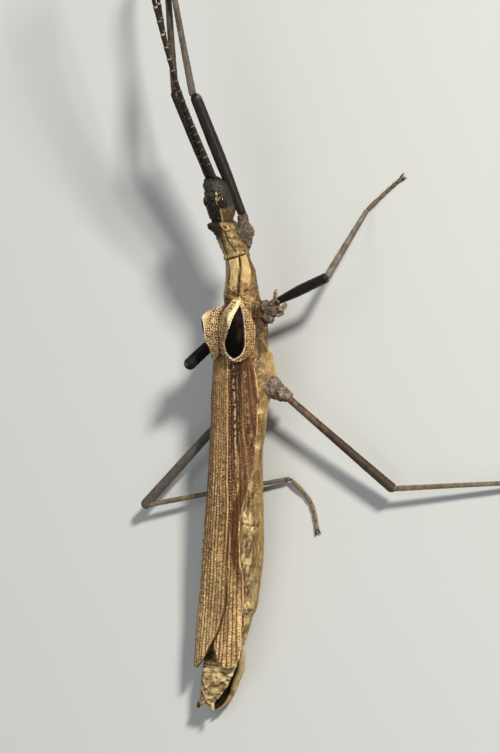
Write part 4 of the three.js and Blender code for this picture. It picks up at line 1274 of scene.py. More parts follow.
# %% Surface of a fore wing
def pad_point(station, share, side, sink=0.0):
    """A point of the pad: from the middle up to the crest, then down to the outer edge."""
    middle, crest_right, crest_up, edge_right, edge_up = row_at(TEGMEN_ROWS, station)
    if side < 0:
        crest_right = crest_right - 0.45 * ease(19.0, 20.8, station) - 0.20 * hump(station, 16.9, 0.55)
        edge_right = edge_right - 0.45 * ease(19.0, 20.8, station)
    inner = np.minimum(share / FOLD, 1)
    outer = np.maximum((share - FOLD) / (1 - FOLD), 0)
    bulge = 0.35 * np.sin(np.pi * outer)
    right = 0.08 + (crest_right - 0.08) * inner + (edge_right - crest_right) * outer + bulge
    up = middle + (crest_up - middle) * inner ** 1.4 + (edge_up - crest_up) * outer
    reach = np.hypot(right, up - 0.6)
    right = np.maximum(0.04, right - sink * right / reach)
    up = up - sink * (up - 0.6) / reach
    middle_at = glide([[14.5, -0.10], [18, -0.2], [22.3, -0.45]], station)
    return place(station, side * right + middle_at, up)


def pad_station(along, share, side):
    """Station at a step along the pad: the front edge is notched at the middle, the rear round."""
    from_crest = share / 0.55 - 1
    inner_cut = 2.1 * np.abs(np.minimum(from_crest, 0)) ** 1.3
    outer_cut = 4.8 * np.maximum(from_crest, 0) ** 1.6
    front = TEGMEN_START - 0.35 + inner_cut + outer_cut
    if side < 0:
        outward = share / 0.42
        front = TEGMEN_START + 0.90 + 0.85 * outward + 1.0 * np.minimum(outward, 1.15) ** 4
    rear = TEGMEN_END - 1.1 * (2.2 * (share - 0.45)) ** 2
    return front + (rear - front) * along


print("stations of the right pad's crest:", pad_station(np.array([0.0, 1.0]), FOLD, 1).round(1))

# %% [markdown]
# The net of a fore wing has many-sided cells, not lanes. Scattered centres give them: a point is
# on a border where its nearest and its second nearest centre are equally far.

# %% Cells of the net
def cell_border(flat, spacing, seed):
    """How far a point lies from the border between two cells, and its own cell's number: the
    second nearest centre's distance less the nearest's."""
    p = flat / spacing
    cell = np.floor(p).astype(np.int64)
    first = np.full(p.shape[:-1], 9.0)
    second = first.copy()
    number = 0 * first
    for step in np.ndindex(3, 3):
        near = cell + np.array(step) - 1
        values = numbers_at(np.concatenate([near, 0 * near[..., :1]], -1), seed)
        gap = np.linalg.norm(near + 0.15 + 0.7 * values[..., :2] - p, axis=-1)
        second = np.minimum(second, np.maximum(first, gap))
        number = np.where(gap < first, values[..., 2], number)
        first = np.minimum(first, gap)
    return second - first, number


print("a border lies where this is 0:", cell_border(np.array([[0.3, 0.4]]), 0.31, 62)[0].round(2))

# %% [markdown]
# The drop lies between two border curves. The distance into it is the smallest of the gaps to
# both curves and to both ends; the drop is where it is above 0, and the white rim just outside.

# %% The black drop
def into_drop(station, share, side):
    """Millimetres inside the drop, negative outside it, and the gap to its inner border alone."""
    borders = (DROP_INNER, DROP_OUTER) if side > 0 else (LEFT_DROP_INNER, LEFT_DROP_OUTER)
    inner_border, outer_border = borders
    inner_gap = (share - glide(inner_border, station)) * PAD_WIDTH
    outer_gap = (glide(outer_border, station) - share) * PAD_WIDTH
    first, last = inner_border[0][0], inner_border[-1][0]
    end_gap = np.minimum(station - first, last - station) * 1.5
    return np.minimum(np.minimum(inner_gap, outer_gap), end_gap), inner_gap


print("the right drop is %.1f mm long" % (DROP_INNER[-1][0] - DROP_INNER[0][0]))

# %% [markdown]
# A fore wing is the pad's surface, lifted by its net, drop and rim, with the same surface a little
# further in as its underside. A bare, pale stretch without cells runs beside the drop in front.

# %% Fore wings
def make_fore_wing(name, side):
    """A humped pad: a net of pale threads over dark pits, and on its slope a rimmed black drop."""
    rings, top, bottom = 230, 180, 14
    along = np.linspace(0, 1, rings)[:, None]
    share = np.linspace(0.0, 1.0, top)[None, :]
    station = pad_station(along, share, side)
    at = pad_point(station, share, side)
    inside, inner_gap = into_drop(station, share, side)
    drop = ease(-0.03, 0.05, inside)
    lower_right = ease(19.5, 21.2, station) * (share > 0.3)
    rim = hump(inside, -0.06 - 0.04 * lower_right, 0.055 + 0.05 * lower_right)
    flat = np.stack(np.broadcast_arrays(station, share * PAD_WIDTH), -1)
    border, cell = cell_border(flat, 0.31, 62)
    net = 1 - ease(0.16, 0.36, border + 0.25 * (cell - 0.5))
    bare = hump(inside, -0.40, 0.34) * (inner_gap < 0) * (1 - ease(16.8, 18.6, station))
    left_bare = ease(0.16, 0.34, share) * (1 - ease(17.6, 19.6, station)) if side < 0 else 0
    bare = np.maximum(bare, left_bare * (0.4 + 0.6 * (noise(at, 0.7, 66) > 0.4)))
    net = np.maximum(net, bare)
    edge = np.maximum(hump(share * PAD_WIDTH, 0.05, 0.06), hump((1 - share) * PAD_WIDTH, 0.08, 0.09))
    edge = np.maximum(edge, hump((1 - along) * 7, 0.06, 0.08))
    height = 0.09 * net * (1 - drop) + 0.12 * rim - 0.18 * drop + 0.04 * edge + 0.05 * bare
    height = height + 0.04 * noise(at, 0.4, 63) * (1 - drop) + 0.05 * noise(at, 0.7, 64) * drop
    seam = 1 - ease(0.02, 0.16, share)
    shade = ease(18.0, 21.5, station)
    slope = ease(0.66, 0.76, share) if side > 0 else 0
    light = 0.30 - 0.18 * shade - 0.24 * slope + 0.35 * noise(at, 0.5, 65)
    pale = np.maximum(net * light, 0.42 * edge) * (1 - drop)
    pale = np.maximum(pale, (0.70 if side > 0 else 0.48) * bare * (1 - drop)) * (1 - 0.55 * seam)
    grey = rim * (1 - drop) * (0.55 + 0.45 * lower_right)
    dark = strongest(0.80 * (1 - net) * (0.55 + 0.6 * cell), drop, 0.75 * hump(share * PAD_WIDTH, 0, 0.05))
    dark = dark * (1 - grey * 0.9)
    warm = np.maximum(0.7 * (1 - net) + 0.35 * shade, 0.5 * seam) * (1 - drop)
    sheen = hump(share, 0.63, 0.08) * band(station, 16.2, 19.6, 0.5) * drop * noise(at, 0.5, 67)
    warm = np.maximum(warm, 0.6 * sheen)
    dark = dark * (1 - 0.18 * sheen)
    outer_face = lift_sheet(at, height)
    under = np.linspace(1, 0, bottom)[None, :]
    inner_face = pad_point(pad_station(along, under, side), under, side, PAD_THICKNESS)
    part = sheet_skin(outer_face, inner_face, pale, dark, warm, grey)
    part["relief"] = beside(np.clip(0.40 + height / 0.2, 0, 1), 0.2, bottom)
    build(name, [part], TEGMEN_FINISH, [name])


make_fore_wing("tegmen_right", 1)
make_fore_wing("tegmen_left", -1)

# %% [markdown]
# Legs are chains of tubes. A bevelled curve could make one, but a tube worked out here has its own
# half width and half height at each step, ridges along its length and the body's paint. A thigh or
# shin follows a slight bend, and a foot a smooth path through its points.

# %% Curves and tubes
def on_floor(points):
    """Points given from the spot under the body's middle station, in the part's frame."""
    return np.asarray(points, float) + FLOOR_SHIFT


def bezier(a, b, c, t):
    """A bend from a to c that b pulls on: the quadratic curve of the three points."""
    t = t[:, None]
    return (1 - t) ** 2 * a + 2 * t * (1 - t) * b + t ** 2 * c


def through(points, t):
    """A smooth path through points: between two of them a cubic, whose slope at each point is
    half the step from the point before it to the point after it."""
    points = np.asarray(points, float)
    passed = np.concatenate([[0], np.cumsum(np.linalg.norm(np.diff(points, axis=0), axis=1))])
    at = t * passed[-1]
    i = np.clip(np.searchsorted(passed, at) - 1, 0, len(points) - 2)
    before = points[np.maximum(i - 1, 0)]
    after = points[np.minimum(i + 2, len(points) - 1)]
    a, b = points[i], points[i + 1]
    u = ((at - passed[i]) / (passed[i + 1] - passed[i]))[:, None]
    return 0.5 * (2 * a + (b - before) * u + (2 * before - 5 * a + 4 * b - after) * u ** 2
                  + (3 * a - before - 3 * b + after) * u ** 3)


def tube(path, wide, high, sides=28, ridges=0, ridge=0.0):
    """Rings round a path: cosine of the angle times the half width across, plus sine times the
    half height above, with ridges along the length."""
    along = np.gradient(path, axis=0)
    along /= np.linalg.norm(along, axis=1, keepdims=True)
    side = np.cross([0.0, 0.0, 1.0], along)
    side /= np.linalg.norm(side, axis=1, keepdims=True)
    top = np.cross(along, side)
    angle = np.linspace(0, 2 * np.pi, sides, endpoint=False)[None, :]
    form = 1 + ridge * (np.abs(np.cos(angle * ridges / 2)) ** 3 - 0.5) if ridges else 1 + 0 * angle
    across = (np.cos(angle) * form * wide[:, None])[..., None] * side[:, None, :]
    above = (np.sin(angle) * form * high[:, None])[..., None] * top[:, None, :]
    return path[:, None, :] + across + above


def rounded(t, length, first, middle, last):
    """Half width along a limb: a curve through its three sizes, domed at both ends."""
    size = glide([[0, first], [0.5, middle], [1, last]], t)
    near = np.minimum(t * length / first, (1 - t) * length / last)
    return size * np.sqrt(np.clip(1 - (1 - np.clip(near, 0, 1)) ** 2, 0.002, 1))


print("a tube of ten steps:", tube(np.linspace([0, 0, 0], [9, 0, 0], 10), np.ones(10), np.ones(10)).shape)

# %% [markdown]
# Each leg is a row of a table. The coxa (with its size) and the hip are given by station, right
# and up; the knee, ankle and foot from the spot on the floor under the body's middle. The thigh
# has three half widths and the shin two.

# %% Measures of the legs
LEGS = {
    "fore_right": dict(coxa=[6.7, -0.3, 0.95, 1.3], hip=[3.9, -0.44, 1.04], knee=[8.8, -33.6, 10.3],
                       ankle=[14.0, -46.6, 10.4], foot=[[16.0, -50.2, 10.0], [17.3, -52.4, 9.2]],
                       femur=[0.50, 0.74, 0.68], tibia=[0.42, 0.36], tone="dark", shin="olive"),
    "fore_left": dict(coxa=[7.4, -2.55, 0.75, 0.85], hip=[5.3, -2.9, 0.5], knee=[11.35, -33.8, 11.1],
                      ankle=[15.8, -46.6, 8.9], foot=[[17.8, -50.0, 7.9], [19.0, -52.0, 7.0]],
                      femur=[0.50, 0.68, 0.62], tibia=[0.44, 0.40], tone="dark", shin="dusk"),
    "mid_right": dict(coxa=[16.0, 2.55, -1.5, 1.0], hip=[14.5, 3.6, -1.8], knee=[-11.15, -13.2, 5.9],
                      ankle=[-12.0, -21.9, 0.62], foot=[[-14.3, -24.4, 0.2], [-16.2, -26.1, 0.2]],
                      femur=[0.42, 0.64, 0.60], tibia=[0.42, 0.30], tone="dark", shin="lichen"),
    "mid_left": dict(coxa=[16.4, -2.55, -1.5, 1.0], hip=[18.3, -3.4, -1.7], knee=[6.85, -0.2, 7.9],
                     ankle=[4.7, -8.9, 0.62], foot=[[5.3, -11.4, 0.2], [6.2, -13.8, 0.2]],
                     femur=[0.55, 0.72, 0.76], tibia=[0.32, 0.28], tone="dark", shin="lichen"),
    "hind_right": dict(coxa=[25.1, 3.15, -1.75, 1.35], hip=[26.3, 6.29, -2.22], knee=[-21.9, 11.4, 2.2],
                       ankle=[-41.0, 8.1, 0.62], foot=[[-44.3, 8.3, 0.2], [-47.4, 9.6, 0.2]],
                       femur=[0.42, 0.50, 0.60], tibia=[0.31, 0.27], tone="brown", shin="tan"),
    "hind_left": dict(coxa=[26.1, -3.0, -1.75, 1.0], hip=[29.6, -3.3, -2.3], knee=[15.05, 17.6, 2.0],
                      ankle=[-5.5, 11.7, 0.62], foot=[[-8.6, 14.2, 0.2], [-10.1, 17.5, 0.2]],
                      femur=[0.44, 0.56, 0.62], tibia=[0.31, 0.27], tone="grey", shin="tan"),
}
print("legs:", ", ".join(LEGS))

# %% [markdown]
# A hip is made of grainy knobs of flesh: a coxa, a trochanter and, where the skin swells between
# them and the body, a few more. The right middle hip also has wavy lobes of skin. Eggs with
# grains and lumps do for all of them, as they run into one another.

# %% Knobs and lobes of the hips
def knob(centre, half_sizes, along, seed, tone):
    """An egg of flesh at a joint, raised by its grains and by soft lumps."""
    at = egg(centre, half_sizes, along, 90, 100)
    wart = grains(at, 0.30, 0.60, 0.75, seed)
    lump = noise(at, 0.55, seed + 1) - 0.5
    height = 0.12 * wart + 0.26 * lump
    dusky = ease(-0.1, 0.12, lump)
    paint = dict(pale=0.80 * wart * (0.5 + dusky), dark=0.36 * (1 - wart) * (1 - dusky),
                 warm=0.2 * dusky, grey=0.36)
    if tone == "dark":
        paint = dict(pale=0.62 * wart * dusky, dark=0.42 * (1 - wart) + 0.16 * (1 - dusky),
                     warm=0.7 * dusky, grey=0.38)
    return skin(at, height, deep=0.2, **paint)


# swellings that blend a hip into the body: station, right and up, then half size
EXTRA_KNOBS = {
    "fore_right": [([6.3, -0.95, 1.35], 0.85), ([8.5, -0.15, 0.55], 0.50), ([7.75, 0.15, 0.6], 0.62)],
    "mid_right": [([15.4, 2.5, -0.8], 0.75), ([16.7, 2.7, -1.1], 0.8), ([15.9, 3.1, -1.2], 0.8)],
    "hind_right": [([24.2, 3.2, -1.4], 0.85), ([25.5, 4.1, -1.9], 1.12), ([25.9, 5.0, -2.05], 0.92),
                   ([26.1, 5.7, -2.15], 0.74)],
}
# station, right and up of the middle, the lean headward and to the right, half length and half width
LEAFLETS = [[13.9, 3.75, -1.1, 1.3, 0.2, 0.78, 0.34], [14.7, 3.9, -1.2, 0.2, 1.0, 0.50, 0.30],
            [15.5, 4.55, -1.7, 1.7, 1.2, 0.98, 0.36], [16.3, 4.0, -1.9, 0.4, 1.0, 0.60, 0.32]]


def leaflets():
    """Lobes of skin that stand out from the hip: flat eggs whose surface noise makes wavy."""
    lobes = []
    for number, (station, right, up, headward, rightward, length, width) in enumerate(LEAFLETS):
        lean = HEADWARD * headward + RIGHT * rightward
        at = egg(place(station, right, up), np.array([width, width * 0.6, length]), lean, 60, 60)
        wave = noise(at, 0.35, 130 + number) - 0.5
        wart = grains(at, 0.26, 0.6, 0.6, 140 + number)
        lobes.append(skin(at, 0.9 * width * wave + 0.08 * wart, pale=0.25 + 0.45 * wart * (wave > -0.1),
                          dark=0.55 * ease(0.0, 0.2, -wave), warm=0.8, grey=0.05, deep=0.2))
    return lobes


print("knobs beside the coxae:", sum(len(knobs) for knobs in EXTRA_KNOBS.values()))

# %% [markdown]
# A thigh or shin is one ridged tube. Legs are painted by tone, since they differ: black thighs
# with a pale speckled knee, grey and brown ones, and shins from olive to tan with lichen spots.

# %% Thighs and shins
LIMB_SIDES = 44
LIMB_RIDGES = 5


def limb_paint(tone, wart, speckle, above, along):
    """The paint shares of a tone: speckles and warts pale on top, and darker where above is low,
    as painted shade on the underside.
    """
    # Where above is low, the darker paint is painted shade on the limb's underside.
    under = 1 - ease(-0.5, 0.2, above)
    if tone == "dark":
        knee = ease(0.93, 0.97, along) * ease(0.42, 0.62, speckle)
        return dict(pale=0.05 * wart + 0.35 * knee, dark=(1 - 0.08 * speckle) * (1 - 0.5 * knee),
                    warm=0.4 * speckle, grey=0.1 + 0.5 * knee)
    if tone == "lichen":
        light = (above > -0.3) * ease(0.3, 0.7, speckle)
        return dict(pale=0.34 * light + 0.15 * wart,
                    dark=strongest(0.7 * under, 0.10, 0.34 * (speckle < 0.38)), grey=0.6)
    if tone == "dusk":
        return dict(pale=0.14 * (above > 0) * speckle,
                    dark=strongest(0.85 * under, 0.70 + 0.15 * (speckle < 0.4)), warm=0.1, grey=0.2)
    if tone == "olive":
        return dict(pale=0.30 * (above > 0) * speckle + 0.1 * wart,
                    dark=strongest(0.7 * under, 0.40 + 0.2 * (speckle < 0.4)), warm=0.05, grey=0.55)
    if tone == "grey":
        return dict(pale=0.26 * (above > 0.3) * speckle, dark=strongest(0.30, 0.85 * under), grey=0.95)
    if tone == "brown":
        shade = 0.30 + 0.42 * ease(0.1, 0.6, along)
        return dict(pale=0.35 * (above > 0.55) * speckle + 0.25 * wart * (1 - along),
                    dark=strongest(shade, 0.85 * under, 0.7 * (speckle < 0.38)), warm=0.65, grey=0.2)
    return dict(pale=0.40 * (above > 0) * speckle + 0.15 * wart,
                dark=strongest(0.75 * under, 0.18 * (speckle < 0.38), 0.5 * (along > 0.965)),
                warm=0.35 * (speckle > 0.45), grey=0.35 * (speckle > 0.5))


def leg_tube(path, half, tone, seed):
    """A thigh or shin: a ridged tube raised by fine grains, with the paint of its tone."""
    at = tube(path, half, half, LIMB_SIDES, LIMB_RIDGES, 0.10)
    wart = grains(at, 0.30, 0.5, 0.5, seed)
    speckle = drawn_noise(at, 0.45, 0.7, seed + 1)
    height = 0.035 * wart + 0.03 * (noise(at, 0.3, seed + 2) - 0.5)
    angle = np.linspace(0, 2 * np.pi, LIMB_SIDES, endpoint=False)[None, :]
    along = np.linspace(0, 1, len(path))[:, None]
    return skin(at, height, **limb_paint(tone, wart, speckle, np.sin(angle), along))


print("points round a limb:", LIMB_SIDES)

# %% [markdown]
# A foot is five beads, then two hooked claws with a soft pad between them. The beads are one tube
# whose half width rises and falls; the claws are horn, so they are a piece of their own.

# %% Feet and claws
CLAW_LENGTH = 0.7
TOE_ENDS = [0, 0.36, 0.53, 0.67, 0.80, 1]


def foot(ankle, toes, tone, seed):
    """Five beads along a path through the toes, each widest near its far end."""
    t = np.linspace(0, 1, 130)
    path = through([ankle, *toes], t)
    bead = np.interp(t, TOE_ENDS, np.arange(len(TOE_ENDS))) % 1
    half = 0.20 + 0.06 * np.sin(np.pi * np.clip(bead, 0, 1) ** 1.6)
    half = half * np.sqrt(np.clip(1 - (1 - np.clip(np.minimum(t, 1 - t) / 0.035, 0, 1)) ** 2, 0.01, 1))
    at = tube(path, half, half, 28)
    joint = np.broadcast_to((bead < 0.16)[:, None], at.shape[:2])
    height = 0.02 * grains(at, 0.2, 0.5, 0.6, seed)
    dark = 0.5 if tone == "brown" else 0.25
    return skin(at, height, pale=0.25 * ~joint, dark=dark + 0.35 * joint, warm=0.25)


def claws(toes):
    """Two curved hooks that part from the end of the foot, and the soft pad between them."""
    along = toes[-1] - toes[-2]
    along /= np.linalg.norm(along)
    side = np.cross([0.0, 0.0, 1.0], along)
    side /= np.linalg.norm(side)
    t = np.linspace(0, 1, 40)
    hooks = []
    for way in (-1, 1):
        root = toes[-1] - along * 0.2 + side * way * 0.08
        middle = toes[-1] + along * CLAW_LENGTH * 0.45 + side * way * 0.30 + np.array([0, 0, 0.16])
        tip = toes[-1] + along * CLAW_LENGTH * 0.85 + side * way * CLAW_LENGTH * 0.48
        tip = tip + np.array([0, 0, -0.04])
        half = 0.13 * (1 - t) ** 0.7 + 0.02
        hooks.append(skin(tube(bezier(root, middle, tip, t), half, half, 16), dark=0.8, warm=0.4))
    pad = egg(toes[-1] + along * 0.18, np.array([0.17, 0.17, 0.26]), along, 20, 24)
    hooks.append(skin(pad, pale=0.4, warm=0.2))
    return hooks


CLAW_FINISH = finish_of("claw_horn", (0.14, 0.07, 0.03), (0.42, 0.32, 0.2), (0.02, 0.01, 0.006),
                        (0.2, 0.08, 0.03), ASH, mottle=0.4, relief_shade=0.3, bump=0.15)
print("finish:", CLAW_FINISH.name)

# %% [markdown]
# Each leg is one object: the knobs, thigh, shin and foot run into one another, so no seam shows.
# It stands for four nodes of the frame, and its claws ride beside it.

# %% Legs
TROCHANTER_SIZE = np.array([0.68, 0.68, 1.05])


def make_leg(name, leg, seed):
    """Knobs from the coxa to the hip, then a bent tube from there to the knee, one to the ankle
    and the foot. The trochanter lies a little past half way from the coxa to the hip."""
    station, right, up, size = leg["coxa"]
    coxa = place(station, right, up)
    hip = place(*leg["hip"])
    knee, ankle = on_floor(leg["knee"]), on_floor(leg["ankle"])
    toes = on_floor(leg["foot"])
    first, middle, last = leg["femur"]
    outward = hip - coxa
    trochanter = coxa + 0.55 * outward
    start = trochanter + (hip - trochanter) / np.linalg.norm(hip - trochanter) * 0.5
    tone = leg["tone"]
    joint_tone = "tan" if name == "hind_right" else "dark"
    parts = [knob(coxa, np.array([size, size, size * 1.12]), outward, seed, joint_tone),
             knob(trochanter, TROCHANTER_SIZE, outward, seed + 3, joint_tone)]
    for at_joint, joint_size in EXTRA_KNOBS.get(name, ()):
        parts.append(knob(place(*at_joint), np.array([joint_size] * 3), outward, seed + 15, joint_tone))
    if name == "mid_right":
        parts += leaflets()
    t = np.linspace(0, 1, 170)
    bend = (start + knee) / 2 + np.array([0, 0, 0.15])
    length = np.linalg.norm(knee - start)
    half = rounded(t, length, first, middle, last)
    parts.append(leg_tube(bezier(start, bend, knee, t), half, tone, seed + 6))
    shin_side = np.array([0.35 if name == "fore_right" else 0.0, 0, 0])
    into_knee = (ankle - knee) / np.linalg.norm(ankle - knee) * 0.1
    shin = knee + shin_side - into_knee - (knee - hip) / length * 0.35
    first, last = leg["tibia"]
    wide = rounded(t, np.linalg.norm(ankle - shin), first * 1.08, np.mean(leg["tibia"]), last)
    bow = (shin + ankle) / 2 + np.array([0, 0, 0.1])
    shin_tone = leg["shin"]
    parts.append(leg_tube(bezier(shin, bow, ankle, t), wide, shin_tone, seed + 9))
    parts.append(foot(ankle, toes, shin_tone, seed + 12))
    nodes = [f"{name}_{part}" for part in ("coxa", "femur", "tibia", "foot")]
    build(f"{name}_leg", parts, LIMB_FINISH, nodes)
    build(f"{name}_claws", claws(toes), CLAW_FINISH)


for index, (leg_name, leg) in enumerate(LEGS.items()):
    make_leg(leg_name, leg, 100 + 20 * index)

# %% [markdown]
# A feeler is a thick first joint and a long thread of short joints. Each joint swells a little at
# its far end, where it carries a cream ring. One tube does it, with its half width and its paint
# both worked out from how far each ring of points lies past the last joint.

# %% Feelers
ANTENNA_ROUTES = {
    "right": [[3.3, -23.5, 11.8], [6.7, -32.9, 15.9], [8.6, -40.5, 18.9], [10.2, -48.6, 21.8],
              [11.2, -56.0, 23.6], [11.6, -64.0, 24.6]],
    "left": [[4.4, -23.5, 11.6], [7.4, -32.4, 14.7], [9.4, -39.7, 16.9], [10.5, -47.6, 19.2],
             [12.2, -55.4, 20.9], [15.0, -62.8, 21.8]],
}
ANTENNA_THICK, ANTENNA_THIN = 0.30, 0.23
ANTENNA_LENGTHS = 3


def make_antenna(side):
    """A tube along a smooth path. Distance passed over the joint's length counts the joints, and
    the part after the point says how far each ring lies along its own joint."""
    t = np.linspace(0, 1, 900)
    path = through(on_floor(ANTENNA_ROUTES[side]), t)
    passed = np.concatenate([[0], np.cumsum(np.linalg.norm(np.diff(path, axis=0), axis=1))])
    length = passed[-1]
    pitch = glide([[0, 0.9], [8, 1.1], [18, 1.6], [30, 2.2], [length, 2.6]], passed)
    count = np.concatenate([[0], np.cumsum(np.diff(passed) / pitch[1:])])
    within = count % 1
    half = ANTENNA_THICK + (ANTENNA_THIN - ANTENNA_THICK) * passed / length
    half = half * (0.90 + 0.16 * ease(0.55, 0.95, within)) * (1 - 0.18 * hump(within, 0.0, 0.05))
    first_joint = 1 - ease(1.3, 1.5, passed)
    half = half * (1 + 0.12 * first_joint)
    ends = np.clip(np.minimum(passed, length - passed) / 0.35, 0, 1)
    half = half * np.sqrt(np.clip(1 - (1 - ends) ** 2, 0.01, 1))
    at = tube(path, half, half, 22)
    kept = 0.35 + 0.9 * noise(np.stack([np.floor(count), 0 * count, 0 * count], -1), 0.9, 73)
    kept = kept * (0.55 + 0.45 * ease(8, 15, passed))
    ring = ease(0.84, 0.90, within) * (1 - ease(0.985, 1.0, within)) * (1 - first_joint) * kept
    ring = np.broadcast_to(ring[:, None], at.shape[:2])
    patchy = 0.5 + 0.6 * noise(at, 0.5, 71)
    height = 0.02 * noise(at, 0.2, 72)
    nodes = [f"antenna_{side}_{part + 1}" for part in range(ANTENNA_LENGTHS)]
    thread = skin(at, height, pale=0.85 * ring * patchy, dark=0.93 * (1 - 0.85 * ring), warm=0.4)
    build(f"antenna_{side}", [thread], LIMB_FINISH, nodes)
    print(f"{int(count[-1])} joints over {length:.1f} mm")


make_antenna("right")
make_antenna("left")

# %% [markdown]
# Under the tail hangs a boat-shaped plate that the insect rests on. It is an open trough: its
# outer face is tan, and inside it is black with shadow. Two short tail feelers stand beside it.

# %% Tail plate
OPERCULUM_START, OPERCULUM_END = 57.4, 65.4
# station, right of the axis, half width, how far above the axis the keel and the rim lie
OPERCULUM_ROWS = np.array([
    [OPERCULUM_START, -0.05, 1.60, -1.75, -1.10],
    [58.6, 0.00, 2.10, -2.00, -1.00],
    [60.2, -0.02, 2.22, -1.97, -0.90],
    [61.8, -0.28, 1.92, -1.80, -0.65],
    [63.4, -0.48, 1.62, -1.45, -0.35],
    [64.6, -0.72, 1.22, -0.95, 0.00],
    [OPERCULUM_END, -1.00, 0.45, -0.30, 0.25],
])
OPERCULUM_WALL = [[OPERCULUM_START, 1.3], [60.2, 0.95], [61.8, 0.75], [63.4, 0.50], [64.6, 0.30],
                  [OPERCULUM_END, 0.15]]
INSIDE_SHADOW = 0.97


def make_operculum():
    """A trough: the outer face goes round from rim to rim, cosine across and sine down, then the
    inner face goes back, nearer the middle by the wall's thickness."""
    rings, around, back = 190, 96, 40
    station = np.linspace(OPERCULUM_START, OPERCULUM_END, rings)[:, None]
    right, half_width, keel, rim = row_at(OPERCULUM_ROWS, station)
    depth = rim - keel
    turn = np.linspace(0, np.pi, around)[None, :]
    outer = place(station, right + np.cos(turn) * half_width, rim - np.sin(turn) ** 0.8 * depth)
    back_turn = np.linspace(np.pi, 0, back)[None, :]
    wall = glide(OPERCULUM_WALL, station)
    inner = place(station, right + np.cos(back_turn) * np.maximum(half_width - wall, 0.05),
                  rim + 0.12 - np.sin(back_turn) ** 0.8 * np.maximum(depth - 0.15, 0.02))
    streak = drawn_noise(outer, 0.35, 1.6, 81)
    patch = noise(outer, 0.7, 83)
    lip = hump(turn, 0, 0.14) + hump(turn, np.pi, 0.14)
    height = 0.05 * grains(outer, 0.30, 0.55, 0.6, 82) + 0.06 * (streak - 0.5) + 0.08 * (patch - 0.5)
    height = height + 0.06 * lip
    pale = 0.15 + 0.45 * streak + 0.3 * lip * patch
    part = sheet_skin(outer, inner, pale, 0.5 * (streak < 0.36), 0.45 * patch, 0.1)
    part["paint"][:, around + 1:-1, 1] = INSIDE_SHADOW
    part["paint"][:, around + 1:-1, 0] = 0
    part["paint"][:, -1] = part["paint"][:, 0]
    part["paint"][:, around] = part["paint"][:, around - 1]
    part["at"][:, :around] = lift_sheet(outer, -height)
    build("operculum", [part], BODY_FINISH, ["operculum"])


make_operculum()

# %% [markdown]
# The two tail feelers are short, blunt tubes beside the tail's tip, the right one cream and the
# left one dark.

# %% Tail feelers
CERCUS_MIDDLE = -1.5


def make_cercus(name, side):
    """A short tube from inside the last plate to just behind it, domed at both ends."""
    root = place(BODY_LENGTH - 0.6, CERCUS_MIDDLE + side * 1.0, 1.30)
    tip = place(BODY_LENGTH + 0.40, CERCUS_MIDDLE + side * 1.28, 1.40)
    t = np.linspace(0, 1, 50)
    half = rounded(t, np.linalg.norm(tip - root), 0.26, 0.24, 0.17)
    at = tube(bezier(root, (root + tip) / 2, tip, t), half, half, 24)
    wart = grains(at, 0.2, 0.5, 0.6, 91)
    tone = dict(pale=0.75, warm=0.2) if side > 0 else dict(dark=0.8, warm=0.2)
    build(name, [skin(at, 0.03 * wart, **tone)], BODY_FINISH, [name])


make_cercus("cercus_right", 1)
make_cercus("cercus_left", -1)

# %% [markdown]
# The model stands on a plain pale floor, which is stage and not part of the object. A backdrop
# could close the view, but the camera looks down, so the floor fills the picture.

# %% Floor
FLOOR_SIZE = 3.0


def make_floor():
    """One square face at height 0, with a matt pale paper finish."""
    half = FLOOR_SIZE / 2
    mesh = bpy.data.meshes.new("floor")
    corners = [(-half, -half, 0), (half, -half, 0), (half, half, 0), (-half, half, 0)]
    mesh.from_pydata(corners, [], [(0, 1, 2, 3)])
    material = bpy.data.materials.new("floor_paper")
    material.use_nodes = True
    shader = material.node_tree.nodes["Principled BSDF"]
    shader.inputs["Base Color"].default_value = (0.62, 0.63, 0.62, 1)
    shader.inputs["Roughness"].default_value = 0.9
    mesh.materials.append(material)
    into_scene("floor", mesh)


make_floor()
print("floor:", FLOOR_SIZE, "m square")

# %% [markdown]
# Soft round lamps light it: a small warm key lamp gives the shadows their direction, and two
# large weak ones and a pale sky fill them.

# %% Lamps and sky
def facing(axes, at):
    """The matrix of a thing whose own X, Y and Z are the columns of `axes`, at a place."""
    return Matrix([(*row, offset) for row, offset in zip(axes, at)] + [(0, 0, 0, 1)])


def aim(thing, at, towards, up=(0, 0, 1)):
    """Puts a lamp at a place with its -Z axis towards a point."""
    back = np.asarray(at, float) - np.asarray(towards, float)
    back /= np.linalg.norm(back)
    side = np.cross(up, back)
    side /= np.linalg.norm(side)
    over = np.cross(back, side)
    thing.matrix_world = facing(np.stack([side, over, back], 1), at)


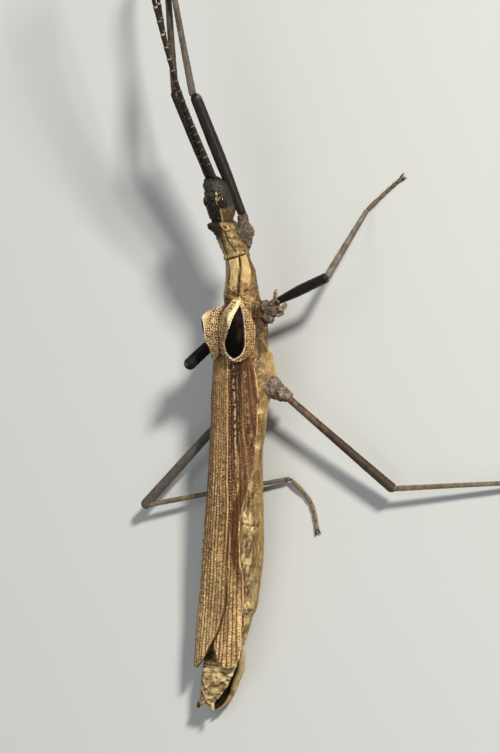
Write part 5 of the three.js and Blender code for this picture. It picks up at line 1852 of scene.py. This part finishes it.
def lamp(name, direction, distance, size, power, colour=(1, 1, 1)):
    """A round lamp at a distance from the model in a direction, facing it."""
    data = bpy.data.lights.new(name, "AREA")
    data.shape = "DISK"
    data.size = size
    data.energy = power
    data.color = colour
    direction = np.asarray(direction, float)
    direction /= np.linalg.norm(direction)
    target = np.array([0.0, 0.0, 0.005])
    aim(into_scene(name, data), target + direction * distance, target)


lamp("key", (-0.72, -0.60, 0.62), 0.6, 0.08, 5.1, (1.0, 0.96, 0.88))
lamp("fill", (-0.30, 0.75, 0.9), 0.7, 0.5, 0.5, (0.95, 0.98, 1.0))
lamp("top", (0.35, -0.2, 1.0), 0.7, 0.5, 0.6)
world = bpy.data.worlds.new("studio")
world.use_nodes = True
world.node_tree.nodes["Background"].inputs["Color"].default_value = (0.9, 0.92, 0.95, 1)
world.node_tree.nodes["Background"].inputs["Strength"].default_value = 0.24
bpy.context.scene.world = world
bpy.context.scene.view_settings.view_transform = "Standard"
print("lamps:", len(bpy.data.lights))

# %% [markdown]
# The camera looks down at the insect's right side from a long way off with a long lens, so that
# its lines stay nearly parallel. Its axes are given outright, because it is also turned about its
# line of sight.

# %% Camera
CAMERA_AT = np.array([-0.33117, 0.01128, 0.49652])
CAMERA_RIGHT = np.array([-0.8133, -0.1193, -0.5695])
CAMERA_UP = np.array([0.0977, -0.9929, 0.0684])
VIEW_DISTANCE = 600.0
PIXELS_PER_MM = 8.2
IMAGE_HEIGHT = 753
SENSOR = 36.0


def make_camera():
    """Lens = sensor height x distance x pixels a millimetre / picture height, so that the picture
    shows that many pixels a millimetre at the model's distance."""
    data = bpy.data.cameras.new("camera")
    data.sensor_fit = "VERTICAL"
    data.sensor_height = SENSOR
    data.lens = SENSOR * VIEW_DISTANCE * PIXELS_PER_MM / IMAGE_HEIGHT
    data.clip_start, data.clip_end = 0.01, 10
    camera = into_scene("camera", data)
    back = np.cross(CAMERA_RIGHT, CAMERA_UP)
    axes = np.stack([CAMERA_RIGHT, CAMERA_UP, back], 1)
    camera.matrix_world = facing(axes, CAMERA_AT)
    bpy.context.scene.camera = camera
    print("lens: %.0f mm" % data.lens)


make_camera()
